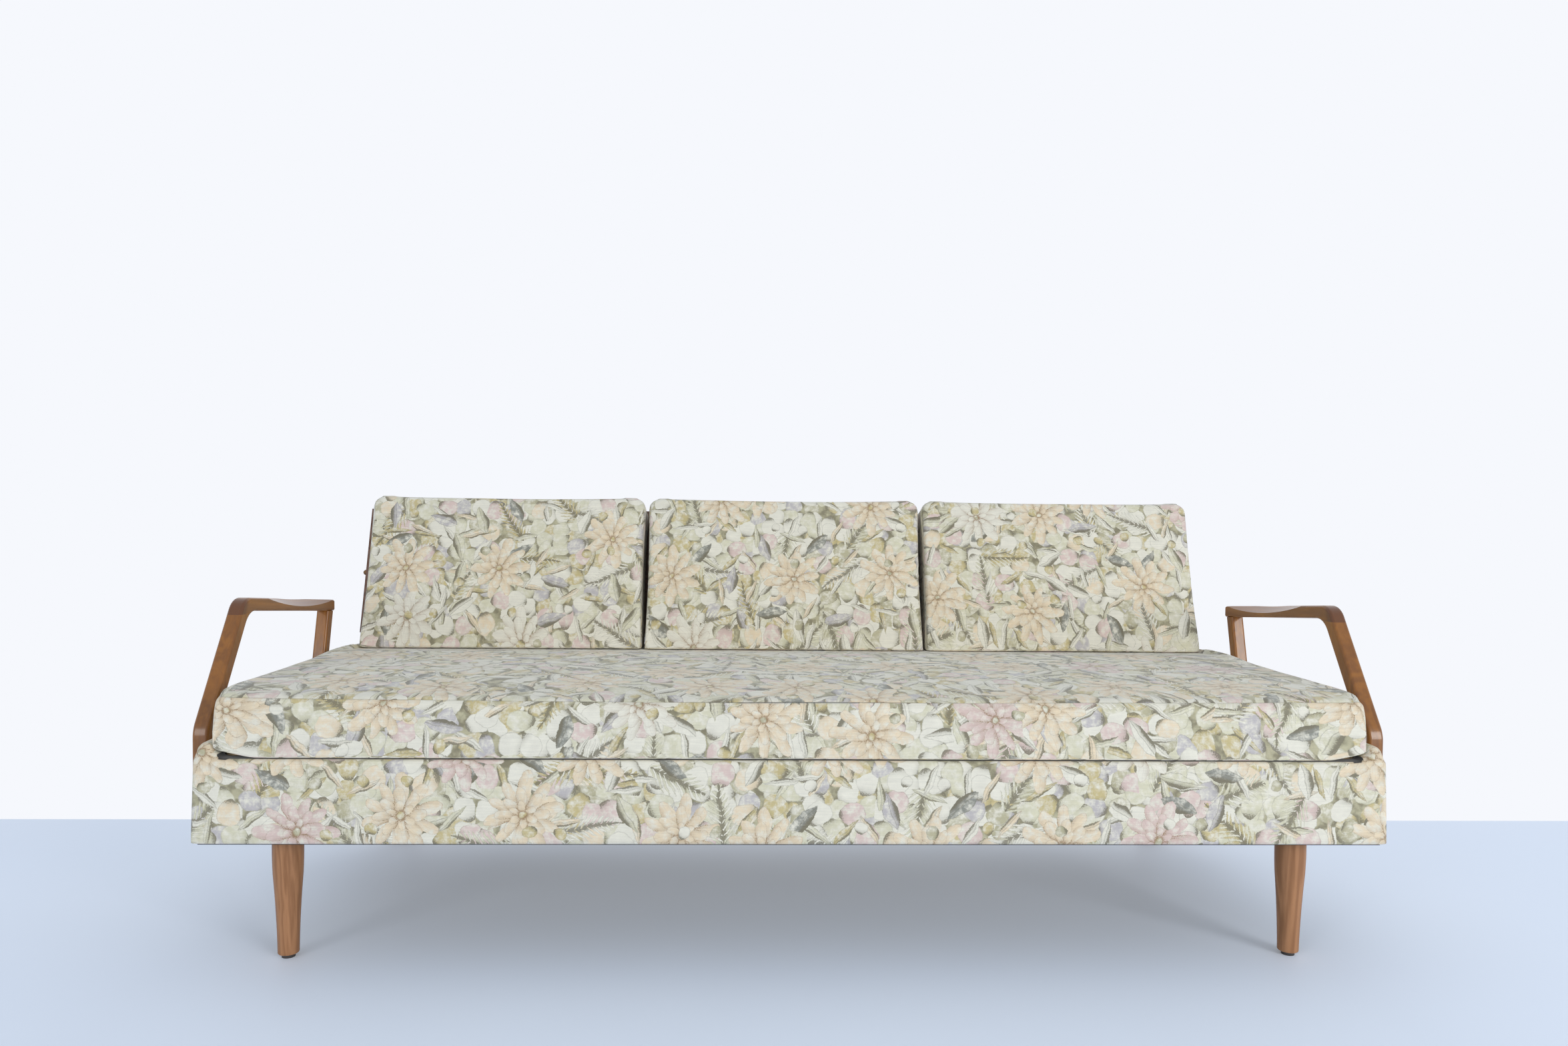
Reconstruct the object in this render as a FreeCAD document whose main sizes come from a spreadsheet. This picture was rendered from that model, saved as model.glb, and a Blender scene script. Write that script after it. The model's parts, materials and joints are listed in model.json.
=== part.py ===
import FreeCAD, Part
import math
import os
import re

import Sketcher

# Daybed sofa: an upholstered box base on turned legs, open wooden arms bolted to its side rails, a loose
# seat mattress and three loose cushions that lean on a tilting wooden back.
# Millimetres. X runs along the sofa, +Y to its back, +Z up. The origin is on the floor, at the middle of
# the width and of the depth over all.

doc = FreeCAD.newDocument("DaybedSofa")
sheet = doc.addObject("Spreadsheet::Sheet", "Sizes")
derived = doc.addObject("App::VarSet", "Derived")

SIZES = [
    # base box
    ("base_width", 1900, "over the side covers"),
    ("base_depth", 765, "over the front and rear covers"),
    ("base_height", 135, "covered front rail"),
    ("roll_rise", 25, "padded side rolls above the front rail"),
    ("roll_width", 36, "side rail with its padding"),
    ("board", 22, "thickness of the frame boards"),
    ("padding", 7, "padding and cloth on the rails"),
    ("roll_padding", 15, "padding on top of the side rails"),
    ("dust_cloth", 1, "cloth under the base"),
    # slats
    ("slat_rise", 1, "slats above the covered rails"),
    ("slat_count", 11, "number of seat slats"),
    ("slat_width", 70, "width of a slat"),
    ("slat_board", 18, "thickness of a slat"),
    ("slat_margin", 3, "from the outer slats to the side padding"),
    ("slat_gap", 0.5, "from a slat's end to the rail"),
    ("ledge_height", 30, "height of the ledges and of the beam that carry the slats"),
    # legs
    ("leg_length", 198, "from the glide to the leg plate"),
    ("leg_top_radius", 23.7, "at the plate"),
    ("leg_belly_radius", 24.1, "at its widest"),
    ("leg_shoulder_radius", 23.1, "where the belly ends"),
    ("leg_waist_radius", 19.8, "at half height"),
    ("leg_foot_radius", 16.5, "at the floor end"),
    ("leg_belly_drop", 30, "from the plate to the widest place"),
    ("leg_shoulder_drop", 66, "from the plate to the shoulder"),
    ("leg_waist_drop", 112, "from the plate to the waist"),
    ("leg_foot_round", 2.5, "rounded foot edge"),
    ("leg_inset_side", 121, "from the base's side to the leg's centre"),
    ("glide_height", 6, "foot glide"),
    ("glide_radius", 10.5, "foot glide"),
    ("plate_length", 104, "leg plate along the sofa"),
    ("plate_width", 68, "leg plate across the sofa"),
    ("plate_thickness", 5, "leg plate"),
    ("plate_gap", 5, "leg plate from the front or rear rail"),
    ("plate_screw_inset", 11, "from the plate's edges to its screws"),
    ("block_height", 40, "corner block"),
    ("block_overlap", 14, "corner block beyond the leg plate"),
    ("stud_radius", 5, "threaded stud in a leg"),
    ("stud_in_leg", 30, "stud below the plate"),
    ("stud_in_block", 26, "stud above the plate"),
    # arms
    ("arm_thickness", 26, "across the sofa"),
    ("post_setback", 55, "front post from the base's front"),
    ("post_depth", 26, "front post square to its length"),
    ("post_rake", 33, "front post above its elbow, from the vertical, degrees"),
    ("elbow_rise", 10, "bend of the front post above the side roll"),
    ("arm_foot_rise", 22, "lower end of both posts above the base's underside"),
    ("rest_rear", 579, "armrest's rear end from the base's front"),
    ("rest_rise", 182, "top of the armrest at its rear end above the side roll"),
    ("rest_fall", 4.7, "slope of the armrest down to the rear, degrees"),
    ("rest_thickness", 23.5, "armrest"),
    ("rest_joint_drop", 4, "joint to the front post below the inner corner"),
    ("elbow_round", 50, "rounded bend of the front post"),
    ("corner_round", 36, "upper front corner of the armrest"),
    ("inner_round", 42, "inner corner under the armrest"),
    ("rest_end_round", 5, "rear end of the armrest"),
    ("arm_edge_round", 5, "long edges of the arms"),
    ("scoop_radius", 950, "hollow in the armrest's inner edge"),
    ("scoop_depth", 14.2, "depth of the hollow at the inner edge"),
    ("scoop_centre", 160, "middle of the hollow from the armrest's rear end"),
    ("rear_post_depth", 25, "rear post square to its length"),
    ("rear_post_lean", 14.5, "from the vertical, degrees"),
    ("rest_overhang", 8, "armrest behind the rear post"),
    ("dowel_radius", 4, "dowels between posts and armrests"),
    ("dowel_reach", 13, "dowel in each of the two pieces"),
    # bolts and screws
    ("bolt_radius", 4, "frame bolts"),
    ("bolt_head_radius", 8, "frame bolts"),
    ("bolt_head", 5, "height of a bolt head"),
    ("bolt_reach", 15, "arm bolt inside a post"),
    ("bolt_spacing", 40, "between the two bolts of a post"),
    ("bolt_rise", 38, "lower arm bolt above the post's end"),
    ("screw_radius", 2, "wood screws"),
    ("screw_head_radius", 4, "wood screws"),
    ("screw_head", 2, "height of a screw head"),
    ("screw_reach", 18, "screw inside the wood"),
    ("hole_clearance", 0.1, "fasteners in their holes, all round"),
    # back frame
    ("back_lean", 16.5, "back from the vertical, degrees"),
    ("pivot_rise", 149.5, "pivot bolts above the cushions' rest on the mattress"),
    ("frame_inset", 1, "back frame's ends from the base's sides"),
    ("frame_top", 145, "top of the back frame above the pivot, along the slope"),
    ("frame_gap", 4.8, "back frame above the mattress"),
    ("panel_thickness", 9, "plywood panel"),
    ("stile_width", 22, "stile along the sofa"),
    ("frame_rail_height", 40, "top and bottom rail of the back"),
    ("frame_rail_depth", 30, "top rail behind the panel"),
    ("panel_screw_count", 7, "screws in each rail of the back"),
    ("upright_width", 45, "upright along the sofa"),
    ("upright_depth", 38, "upright across the sofa"),
    ("upright_foot_rise", 20, "lower end of an upright above the base's underside"),
    ("upright_gap", 2, "between an upright and its stile"),
    ("upright_bolt_low", 30, "lower upright bolt above the upright's foot"),
    ("upright_bolt_spacing", 50, "between the two bolts of an upright"),
    ("pivot_clearance", 1, "panel from the uprights' rounded tops"),
    ("stop_gap", 0.3, "bottom rail from the uprights it stops on"),
    ("pivot_radius", 4, "shank of a pivot bolt"),
    ("pivot_play", 0.05, "pivot bolt in its stile, all round"),
    ("pivot_reach", 30, "pivot bolt inside an upright"),
    ("knob_radius", 6, "knob on the end of a pivot bolt"),
    ("knob_length", 10, "straight part of a knob"),
    ("dome_height", 5.5, "domed end of a knob"),
    ("knob_gap", 0.3, "knob from its stile"),
    # soft pieces
    ("soft_gap", 0.3, "soft pieces from what they rest on"),
    ("mattress_inset", 22, "mattress at its fullest from the base's sides"),
    ("mattress_edge_gap", 3, "mattress from the front and rear of the base"),
    ("mattress_height", 97.5, "top seam above the slats"),
    ("mattress_crown_rise", 14.5, "crown above the top seam"),
    ("mattress_rest_rise", 7, "cushions' rest above the top seam"),
    ("mattress_corner", 34, "corner radius seen from above"),
    ("mattress_draw", 3, "sides drawn in between the corners"),
    ("mattress_clear", 7, "mattress's underside from the side rolls"),
    ("mattress_edge", 25, "rounded top edges"),
    ("mattress_slope", 170, "fall of the crown towards the cushions, along the depth"),
    ("cushion_inset", 34, "outer cushions from the base's sides"),
    ("cushion_gap", 4, "between back cushions"),
    ("cushion_press", 6.6, "front of the cushions pressed flat by the mattress, along the slope"),
    ("cushion_thickness", 105, "square to the slope"),
    ("cushion_top", 148, "top of the cushions above the pivot, along the slope"),
    ("cushion_corner", 24, "corner radius"),
    ("cushion_draw", 3, "sides drawn in between the corners"),
    ("cushion_crown", 4, "swell of the front face"),
]

ALIASES = [alias for alias, size, note in SIZES]
DERIVED = []

for row, (alias, size, note) in enumerate(SIZES, start=1):
    sheet.set(f"A{row}", alias)
    sheet.set(f"B{row}", str(size))
    sheet.setAlias(f"B{row}", alias)
    sheet.set(f"C{row}", note)
doc.recompute()


def expand(text):
    """An expression in plain size names, with each name led back to the object that holds it."""
    def lead(match):
        word = match.group(0)
        if word in ALIASES:
            return f"Sizes.{word}"
        if word in DERIVED:
            return f"Derived.{word}"
        return word
    return re.sub(r"[a-z][a-z_]+", lead, str(text))


def derive(name, text):
    """A size that follows from the sheet."""
    derived.addProperty("App::PropertyFloat", name, "Derived")
    derived.setExpression(name, expand(text))
    DERIVED.append(name)


def number(text):
    """The present value of an expression in size names."""
    return float(sheet.evalExpression(expand(text)))


CUSHION_NAMES = ["left", "centre", "right"]

# Heights, from the floor up
derive("base_bottom", "leg_length + glide_height")
derive("rail_top", "base_bottom + base_height")
derive("roll_top", "rail_top + roll_rise")
derive("slat_top", "rail_top + slat_rise")
derive("arm_foot", "base_bottom + arm_foot_rise")
derive("elbow_height", "roll_top + elbow_rise")
derive("rest_rear_height", "roll_top + rest_rise")
derive("upright_foot", "base_bottom + upright_foot_rise")
derive("mattress_seam", "slat_top + mattress_height")
derive("mattress_crown", "mattress_seam + mattress_crown_rise")
derive("mattress_rest", "mattress_seam + mattress_rest_rise")
derive("pivot_height", "mattress_rest + pivot_rise")

# Across the sofa
derive("half_width", "base_width / 2")
derive("side_inner", "half_width - roll_width")
derive("core_outer", "half_width - padding")
derive("core_inner", "core_outer - board")
derive("roll_radius", "roll_width / 2")
derive("leg_across", "half_width - leg_inset_side")
derive("leg_inset_front", "padding + board + plate_gap + plate_width / 2")
derive("frame_width", "base_width - 2 * frame_inset")
derive("mattress_half", "half_width - mattress_inset")
derive("mattress_tuck", "roll_width - mattress_inset + mattress_clear")
derive("cushion_run", "base_width - 2 * cushion_inset + cushion_gap")
derive("cushion_width", f"cushion_run / {len(CUSHION_NAMES)} - cushion_gap")

# The back turns on pivot bolts in the uprights' rounded tops. Its pieces are placed from that axis:
# across along X, behind square to the panel, up along the slope.
derive("pivot_from_front", "base_depth + upright_depth / 2")
derive("panel_rear", "-(upright_depth / 2 + pivot_clearance)")
derive("panel_front", "panel_rear - panel_thickness")
derive("stile_depth", "-2 * panel_rear")
derive("frame_low", "(frame_gap + stile_depth / 2 * sin(back_lean) - pivot_rise) / cos(back_lean)")
derive("frame_height", "frame_top - frame_low")
derive("rear_reach", "pivot_from_front + stile_depth / 2 * cos(back_lean) + frame_top * sin(back_lean)")
derive("front_y", "-rear_reach / 2")
derive("rear_y", "front_y + base_depth")
derive("pivot_y", "front_y + pivot_from_front")
derive("stile_inner", "frame_width / 2 - stile_width")
derive("upright_outer", "stile_inner - upright_gap")
derive("stop_up", "frame_low + frame_rail_height")
derive("stop_behind", "-(upright_depth / 2 + stop_gap + stop_up * sin(back_lean)) / cos(back_lean)")

# Arm outline, as distances from the base's front and heights above the floor
derive("post_run", "post_depth / cos(post_rake)")
derive("outline_share", "1 + tan(post_rake) * tan(rest_fall)")
derive("rest_reach", "rest_rear - post_setback + elbow_height * tan(post_rake)")
derive("rest_front_height", "(rest_rear_height + rest_reach * tan(rest_fall)) / outline_share")
derive("rest_front", "post_setback + (rest_front_height - elbow_height) * tan(post_rake)")
derive("rest_rear_under", "rest_rear_height - rest_thickness / cos(rest_fall)")
derive("inner_height", "(rest_rear_under + (rest_reach - post_run) * tan(rest_fall)) / outline_share")
derive("inner_corner", "post_setback + post_run + (inner_height - elbow_height) * tan(post_rake)")
derive("rest_joint", "inner_height - rest_joint_drop")
derive("rear_run", "rear_post_depth / cos(rear_post_lean)")
derive("rear_share", "1 + tan(rear_post_lean) * tan(rest_fall)")
derive("rear_top_rear", "rest_rear - rest_overhang")
derive("rear_top_height", "rest_rear_under + rest_overhang * tan(rest_fall)")
derive("rear_top_front", "rear_top_rear - rear_run / rear_share")
derive("rear_foot", "rear_top_rear - (rear_top_height - arm_foot) * tan(rear_post_lean)")
doc.recompute()

TURNS = {
    "+x": FreeCAD.Rotation(FreeCAD.Vector(0, 1, 0), 90),
    "-x": FreeCAD.Rotation(FreeCAD.Vector(0, 1, 0), -90),
    "+y": FreeCAD.Rotation(FreeCAD.Vector(1, 0, 0), -90),
    "-y": FreeCAD.Rotation(FreeCAD.Vector(1, 0, 0), 90),
    "+z": FreeCAD.Rotation(),
    "-z": FreeCAD.Rotation(FreeCAD.Vector(1, 0, 0), 180),
}


def bind(piece, **expressions):
    for prop, text in expressions.items():
        piece.setExpression(prop, expand(text))


def place(piece, spot):
    """Bind a piece's place to expressions for X, Y and Z."""
    for axis, text in zip("xyz", spot):
        piece.setExpression(f"Placement.Base.{axis}", expand(text))


def place_on_back(piece, across, behind, up):
    """Lean a piece with the back and place it from the pivot axis."""
    piece.Placement = FreeCAD.Placement(FreeCAD.Vector(), FreeCAD.Rotation(FreeCAD.Vector(1, 0, 0), -1))
    piece.setExpression("Placement.Rotation.Angle", expand("-back_lean"))
    place(piece, (
        across,
        f"pivot_y + ({behind}) * cos(back_lean) + ({up}) * sin(back_lean)",
        f"pivot_height - ({behind}) * sin(back_lean) + ({up}) * cos(back_lean)",
    ))


def box(label, spot, size):
    piece = doc.addObject("Part::Box", label)
    bind(piece, Length=size[0], Width=size[1], Height=size[2])
    place(piece, spot)
    return piece


def back_box(label, spot, size):
    piece = doc.addObject("Part::Box", label)
    bind(piece, Length=size[0], Width=size[1], Height=size[2])
    place_on_back(piece, *spot)
    return piece


def cylinder(label, spot, direction, radius, length):
    piece = doc.addObject("Part::Cylinder", label)
    piece.Placement = FreeCAD.Placement(FreeCAD.Vector(), TURNS[direction])
    bind(piece, Radius=radius, Height=length)
    place(piece, spot)
    return piece


def group(label, pieces):
    """Separate solids that share one node."""
    node = doc.addObject("Part::Compound", label)
    node.Links = pieces
    return node


def fuse(label, pieces):
    node = doc.addObject("Part::MultiFuse", label)
    node.Shapes = pieces
    return node


def cut(label, blank, tools):
    node = doc.addObject("Part::Cut", label)
    node.Base = blank
    node.Tool = group(f"{label}_tools", tools)
    return node


def shifted(spot, direction, distance):
    """A spot moved along one of the six directions by an expression."""
    step = f"+ ({distance})" if direction[0] == "+" else f"- ({distance})"
    moved = [str(text) for text in spot]
    index = "xyz".index(direction[1])
    moved[index] = f"{moved[index]} {step}"
    return moved


OPPOSITE = {"+": "-", "-": "+"}


def bolt(label, spot, direction, length):
    """A frame bolt whose head lies on the surface at spot and whose shank runs along direction."""
    outwards = OPPOSITE[direction[0]] + direction[1]
    shank = cylinder(f"{label}_shank", spot, direction, "bolt_radius", length)
    cap = cylinder(f"{label}_cap", spot, outwards, "bolt_head_radius", "bolt_head")
    return fuse(label, [shank, cap])


def sunk_screw(label, spot, direction, length):
    """A wood screw whose head is let into the surface at spot."""
    shank = cylinder(f"{label}_shank", spot, direction, "screw_radius", length)
    cap = cylinder(f"{label}_cap", spot, direction, "screw_head_radius", "screw_head")
    return fuse(label, [shank, cap])


def hole(label, spot, direction, radius, length):
    """A hole with clearance all round and at its end, open at the surface it starts from."""
    start = shifted(spot, direction, "-hole_clearance")
    return cylinder(label, start, direction, f"{radius} + hole_clearance", f"{length} + 2 * hole_clearance")


def origin_plane(body, role):
    return next(plane for plane in body.Origin.OriginFeatures if plane.Role == role)


def closed_sketch(body, name, role, points):
    """A closed outline of straight lines on an origin plane, each corner bound to two expressions."""
    sketch = body.newObject("Sketcher::SketchObject", name)
    sketch.AttachmentSupport = [(origin_plane(body, role), "")]
    sketch.MapMode = "FlatFace"
    corners = [FreeCAD.Vector(number(first), number(second), 0) for first, second in points]
    count = len(corners)
    for index in range(count):
        sketch.addGeometry(Part.LineSegment(corners[index], corners[(index + 1) % count]))
    for index in range(count):
        sketch.addConstraint(Sketcher.Constraint("Coincident", index, 2, (index + 1) % count, 1))
    for index, (first, second) in enumerate(points):
        corner = corners[index]
        for kind, text, size in (("DistanceX", first, corner.x), ("DistanceY", second, corner.y)):
            made = sketch.addConstraint(Sketcher.Constraint(kind, -1, 1, index, 1, size))
            sketch.setExpression(f"Constraints[{made}]", expand(text))
    return sketch


def edges_where(feature, test):
    """Names of a feature's edges that pass a test."""
    return [f"Edge{index}" for index, edge in enumerate(feature.Shape.Edges, start=1) if test(edge)]


def round_edges(body, feature, name, radius, test):
    doc.recompute()
    fillet = body.newObject("PartDesign::Fillet", name)
    fillet.Base = (feature, edges_where(feature, test))
    bind(fillet, Radius=radius)
    return fillet


def through_corner(first, second):
    """A test for the edge along X that stands on one corner of a YZ outline."""
    corner = (number(first), number(second))

    def test(edge):
        ends = [(vertex.Point.y, vertex.Point.z) for vertex in edge.Vertexes]
        return len(ends) == 2 and all(math.dist(end, corner) < 0.01 for end in ends)
    return test


def on_side_face(edge):
    """A test for edges that lie in one of the two flat sides of a piece padded along X."""
    return edge.BoundBox.XLength < 0.01


def padded_outline(name, points, thickness):
    """A body whose YZ outline is padded along X, with the feature that made it."""
    body = doc.addObject("PartDesign::Body", name)
    sketch = closed_sketch(body, f"{name}_outline", "YZ_Plane", points)
    pad = body.newObject("PartDesign::Pad", f"{name}_pad")
    pad.Profile = sketch
    bind(pad, Length=thickness)
    doc.recompute()
    return body, pad


SIDES = {"left": -1, "right": 1}
ENDS = ("front", "rear")
nodes = []


def across(side, text):
    """An X expression on one side of the sofa."""
    return f"{SIDES[side]} * ({text})"


def low_corner(side, inner, width):
    """The lower X of something that starts at inner and runs outwards by width, on one side."""
    return inner if side == "right" else f"-({inner}) - ({width})"


# Fasteners that the frame is drilled for. Each spot is on the surface that the head lies on.
ARM_BOLT_LENGTH = "board + padding + bolt_reach"
UPRIGHT_BOLT_LENGTH = "upright_depth + padding + board"
arm_bolt_spots = {}
upright_bolt_spots = {}
for side in SIDES:
    outwards = "+x" if side == "right" else "-x"
    for step in range(2):
        rise = f"arm_foot + bolt_rise + {step} * bolt_spacing"
        front_y_spot = "front_y + post_setback + post_depth / 2"
        rear_y_spot = f"front_y + rear_foot - rear_run / 2 + ({rise} - arm_foot) * tan(rear_post_lean)"
        for post, spot_y in (("front", front_y_spot), ("rear", rear_y_spot)):
            arm_bolt_spots[side, post, step] = (across(side, "core_inner"), spot_y, rise), outwards
        height = f"upright_foot + upright_bolt_low + {step} * upright_bolt_spacing"
        upright_bolt_spots[side, step] = (
            across(side, "upright_outer - upright_width / 2"), "rear_y + upright_depth", height)


def arm_bolt_holes(side, label, posts=("front", "rear")):
    return [
        hole(f"{label}_{where}_{post}_bolt_hole_{step}", spot, direction, "bolt_radius", ARM_BOLT_LENGTH)
        for (where, post, step), (spot, direction) in arm_bolt_spots.items()
        if where == side and post in posts
    ]


def upright_bolt_holes(label, sides=("left", "right")):
    return [
        hole(f"{label}_{side}_upright_hole_{step}", spot, "-y", "bolt_radius", UPRIGHT_BOLT_LENGTH)
        for (side, step), spot in upright_bolt_spots.items() if side in sides
    ]


def make_rails():
    """Front, rear and side rails, the beam and the ledges that carry the slats."""
    rail_height = "rail_top - padding - base_bottom"
    front = ("-core_inner", "front_y + padding", "base_bottom")
    nodes.append(box("front_rail", front, ("2 * core_inner", "board", rail_height)))
    rear = box("rear_rail_blank", ("-core_inner", "rear_y - padding - board", "base_bottom"),
               ("2 * core_inner", "board", rail_height))
    nodes.append(cut("rear_rail", rear, upright_bolt_holes("rear_rail")))
    for side in SIDES:
        spot = (low_corner(side, "core_inner", "board"), "front_y + padding", "base_bottom")
        size = ("board", "base_depth - 2 * padding", "roll_top - roll_padding - base_bottom")
        blank = box(f"{side}_side_rail_blank", spot, size)
        nodes.append(cut(f"{side}_side_rail", blank, arm_bolt_holes(side, f"{side}_side_rail")))
    under_slats = "slat_top - slat_board - ledge_height"
    ledge_size = ("2 * core_inner", "board", "ledge_height")
    for end, ledge_y in (("front", "front_y + padding + board"), ("rear", "rear_y - padding - 2 * board")):
        nodes.append(box(f"{end}_slat_ledge", ("-core_inner", ledge_y, under_slats), ledge_size))
    beam_y = "front_y + (base_depth - board) / 2"
    nodes.append(box("centre_beam", ("-core_inner", beam_y, under_slats), ledge_size))


def make_slats():
    """Slats from front to rear, evenly spread between the side rails' padding."""
    count = int(number("slat_count"))
    spread = "(2 * (side_inner - slat_margin) - slat_width) / (slat_count - 1)"
    slats = []
    for index in range(count):
        spot = (f"slat_margin - side_inner + {index} * {spread}", "front_y + padding + board + slat_gap",
                "slat_top - slat_board")
        size = ("slat_width", "base_depth - 2 * (padding + board + slat_gap)", "slat_board")
        slats.append(box(f"slat_{index}", spot, size))
    nodes.append(group("seat_slats", slats))


def make_covers():
    """Upholstery: the side covers with their rolls, the front and rear covers with a lip, the dust cover."""
    height = "roll_top - roll_radius - base_bottom"
    core_depth = "base_depth - 2 * padding"
    for side in SIDES:
        low = low_corner(side, "side_inner", "roll_width")
        wall_size = ("roll_width", "base_depth", height)
        wall = box(f"{side}_cover_wall", (low, "front_y", "base_bottom"), wall_size)
        roll_spot = (across(side, "half_width - roll_radius"), "front_y", "roll_top - roll_radius")
        roll = cylinder(f"{side}_cover_roll", roll_spot, "+y", "roll_radius", "base_depth")
        core_spot = (low_corner(side, "core_inner", "board"), "front_y + padding", "base_bottom")
        core_size = ("board", core_depth, "roll_top - roll_padding - base_bottom")
        core = box(f"{side}_cover_core", core_spot, core_size)
        lining = "core_inner - side_inner"
        inside_spot = (low_corner(side, "side_inner", lining), "front_y + padding", "base_bottom")
        inside_size = (lining, core_depth, "slat_top - base_bottom")
        inside = box(f"{side}_cover_inside", inside_spot, inside_size)
        blank = fuse(f"{side}_side_cover_blank", [wall, roll])
        tools = [core, inside] + arm_bolt_holes(side, f"{side}_side_cover")
        nodes.append(cut(f"{side}_side_cover", blank, tools))
    face_size = ("2 * side_inner", "padding", "rail_top - base_bottom")
    lip_size = ("2 * side_inner", "board", "padding")
    front_face = box("front_cover_face", ("-side_inner", "front_y", "base_bottom"), face_size)
    front_lip = box("front_cover_lip", ("-side_inner", "front_y + padding", "rail_top - padding"), lip_size)
    nodes.append(fuse("front_cover", [front_face, front_lip]))
    rear_face = box("rear_cover_face", ("-side_inner", "rear_y - padding", "base_bottom"), face_size)
    rear_lip_spot = ("-side_inner", "rear_y - padding - board", "rail_top - padding")
    rear_lip = box("rear_cover_lip", rear_lip_spot, lip_size)
    rear_blank = fuse("rear_cover_blank", [rear_face, rear_lip])
    nodes.append(cut("rear_cover", rear_blank, upright_bolt_holes("rear_cover")))
    sheet_blank = box("dust_cover_blank", ("-core_outer", "front_y + padding", "base_bottom - dust_cloth"),
                      ("2 * core_outer", "base_depth - 2 * padding", "dust_cloth"))
    leg_holes = [
        cylinder(f"dust_cover_{side}_{end}_hole", shifted(leg_spot(side, end), "-z", "2 * dust_cloth"), "+z",
                 "leg_belly_radius + dust_cloth", "3 * dust_cloth")
        for side in SIDES for end in ENDS
    ]
    nodes.append(cut("dust_cover", sheet_blank, leg_holes))


def leg_spot(side, end):
    """Where a leg meets its plate."""
    from_front = "leg_inset_front" if end == "front" else "base_depth - leg_inset_front"
    return [across(side, "leg_across"), f"front_y + {from_front}", "base_bottom"]


def make_leg(side, end):
    """A turned leg: a hollow sweep up to the shoulder, a full belly under the plate, drilled for its stud."""
    label = f"{side}_{end}_leg"
    length = number("leg_length")
    foot = number("leg_foot_radius")
    eased = number("leg_foot_round")
    slant = eased * (1 - math.sqrt(0.5))
    top = FreeCAD.Vector(number("leg_top_radius"), 0, length)
    belly = FreeCAD.Vector(number("leg_belly_radius"), 0, length - number("leg_belly_drop"))
    shoulder = FreeCAD.Vector(number("leg_shoulder_radius"), 0, length - number("leg_shoulder_drop"))
    waist = FreeCAD.Vector(number("leg_waist_radius"), 0, length - number("leg_waist_drop"))
    ankle = FreeCAD.Vector(foot, 0, eased)
    edge = FreeCAD.Vector(foot - slant, 0, slant)
    sole = FreeCAD.Vector(foot - eased, 0, 0)
    axis_low = FreeCAD.Vector(0, 0, 0)
    axis_high = FreeCAD.Vector(0, 0, length)
    outline = Part.Wire([
        Part.makeLine(axis_low, sole),
        Part.Arc(sole, edge, ankle).toShape(),
        Part.Arc(ankle, waist, shoulder).toShape(),
        Part.Arc(shoulder, belly, top).toShape(),
        Part.makeLine(top, axis_high),
        Part.makeLine(axis_high, axis_low),
    ])
    turning = doc.addObject("Part::Feature", f"{label}_turning")
    turning.Shape = Part.Face(outline).revolve(axis_low, FreeCAD.Vector(0, 0, 1), 360)
    spot = leg_spot(side, end)
    place(turning, shifted(spot, "-z", "leg_length"))
    bore = hole(f"{label}_stud_hole", spot, "-z", "stud_radius", "stud_in_leg")
    nodes.append(cut(label, turning, [bore]))


def make_legs():
    """Four legs, each on a stud through a screwed plate under a corner block, with a glide below."""
    plates, screws, studs, glides, blocks = [], [], [], [], []
    for side in SIDES:
        for end in ENDS:
            name = f"{side}_{end}"
            make_leg(side, end)
            x, y, z = leg_spot(side, end)
            corner = (f"{x} - plate_length / 2", f"{y} - plate_width / 2", z)
            screw_spots = [
                (f"{x} + {a} * (plate_length / 2 - plate_screw_inset)",
                 f"{y} + {b} * (plate_width / 2 - plate_screw_inset)", "base_bottom")
                for a in (-1, 1) for b in (-1, 1)
            ]
            stud_low = shifted((x, y, z), "-z", "stud_in_leg")
            stud_size = ("stud_radius", "stud_in_leg + plate_thickness + stud_in_block")
            studs.append(cylinder(f"{name}_stud", stud_low, "+z", *stud_size))

            def drill(piece):
                """Holes for the stud and the screws in the plate or the block."""
                tools = [hole(f"{name}_{piece}_stud_hole", stud_low, "+z", *stud_size)]
                for index, spot in enumerate(screw_spots):
                    screw_hole = f"{name}_{piece}_screw_hole_{index}"
                    tools.append(hole(screw_hole, spot, "+z", "screw_radius", "screw_reach"))
                    tools.append(hole(f"{screw_hole}_seat", spot, "+z", "screw_head_radius", "screw_head"))
                return tools

            plate = box(f"{name}_plate_blank", corner, ("plate_length", "plate_width", "plate_thickness"))
            plates.append(cut(f"{name}_plate", plate, drill("plate")))
            block_y = "front_y + padding + board" if end == "front" else f"{y} - plate_width / 2"
            block_depth = "leg_inset_front + plate_width / 2 - padding - board"
            block_inner = "leg_across - plate_length / 2 - block_overlap"
            block_length = f"core_inner - ({block_inner})"
            block_low = low_corner(side, block_inner, block_length)
            block_spot = (block_low, block_y, "base_bottom + plate_thickness")
            block = box(f"{name}_block_blank", block_spot, (block_length, block_depth, "block_height"))
            blocks.append(cut(f"{name}_block", block, drill("block")))
            for index, spot in enumerate(screw_spots):
                screws.append(sunk_screw(f"{name}_plate_screw_{index}", spot, "+z", "screw_reach"))
            glides.append(cylinder(f"{name}_glide", (x, y, "0"), "+z", "glide_radius", "glide_height"))
    nodes.append(group("corner_blocks", blocks))
    nodes.append(group("leg_plates", plates))
    nodes.append(group("plate_screws", screws))
    nodes.append(group("leg_studs", studs))
    nodes.append(group("foot_glides", glides))


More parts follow.
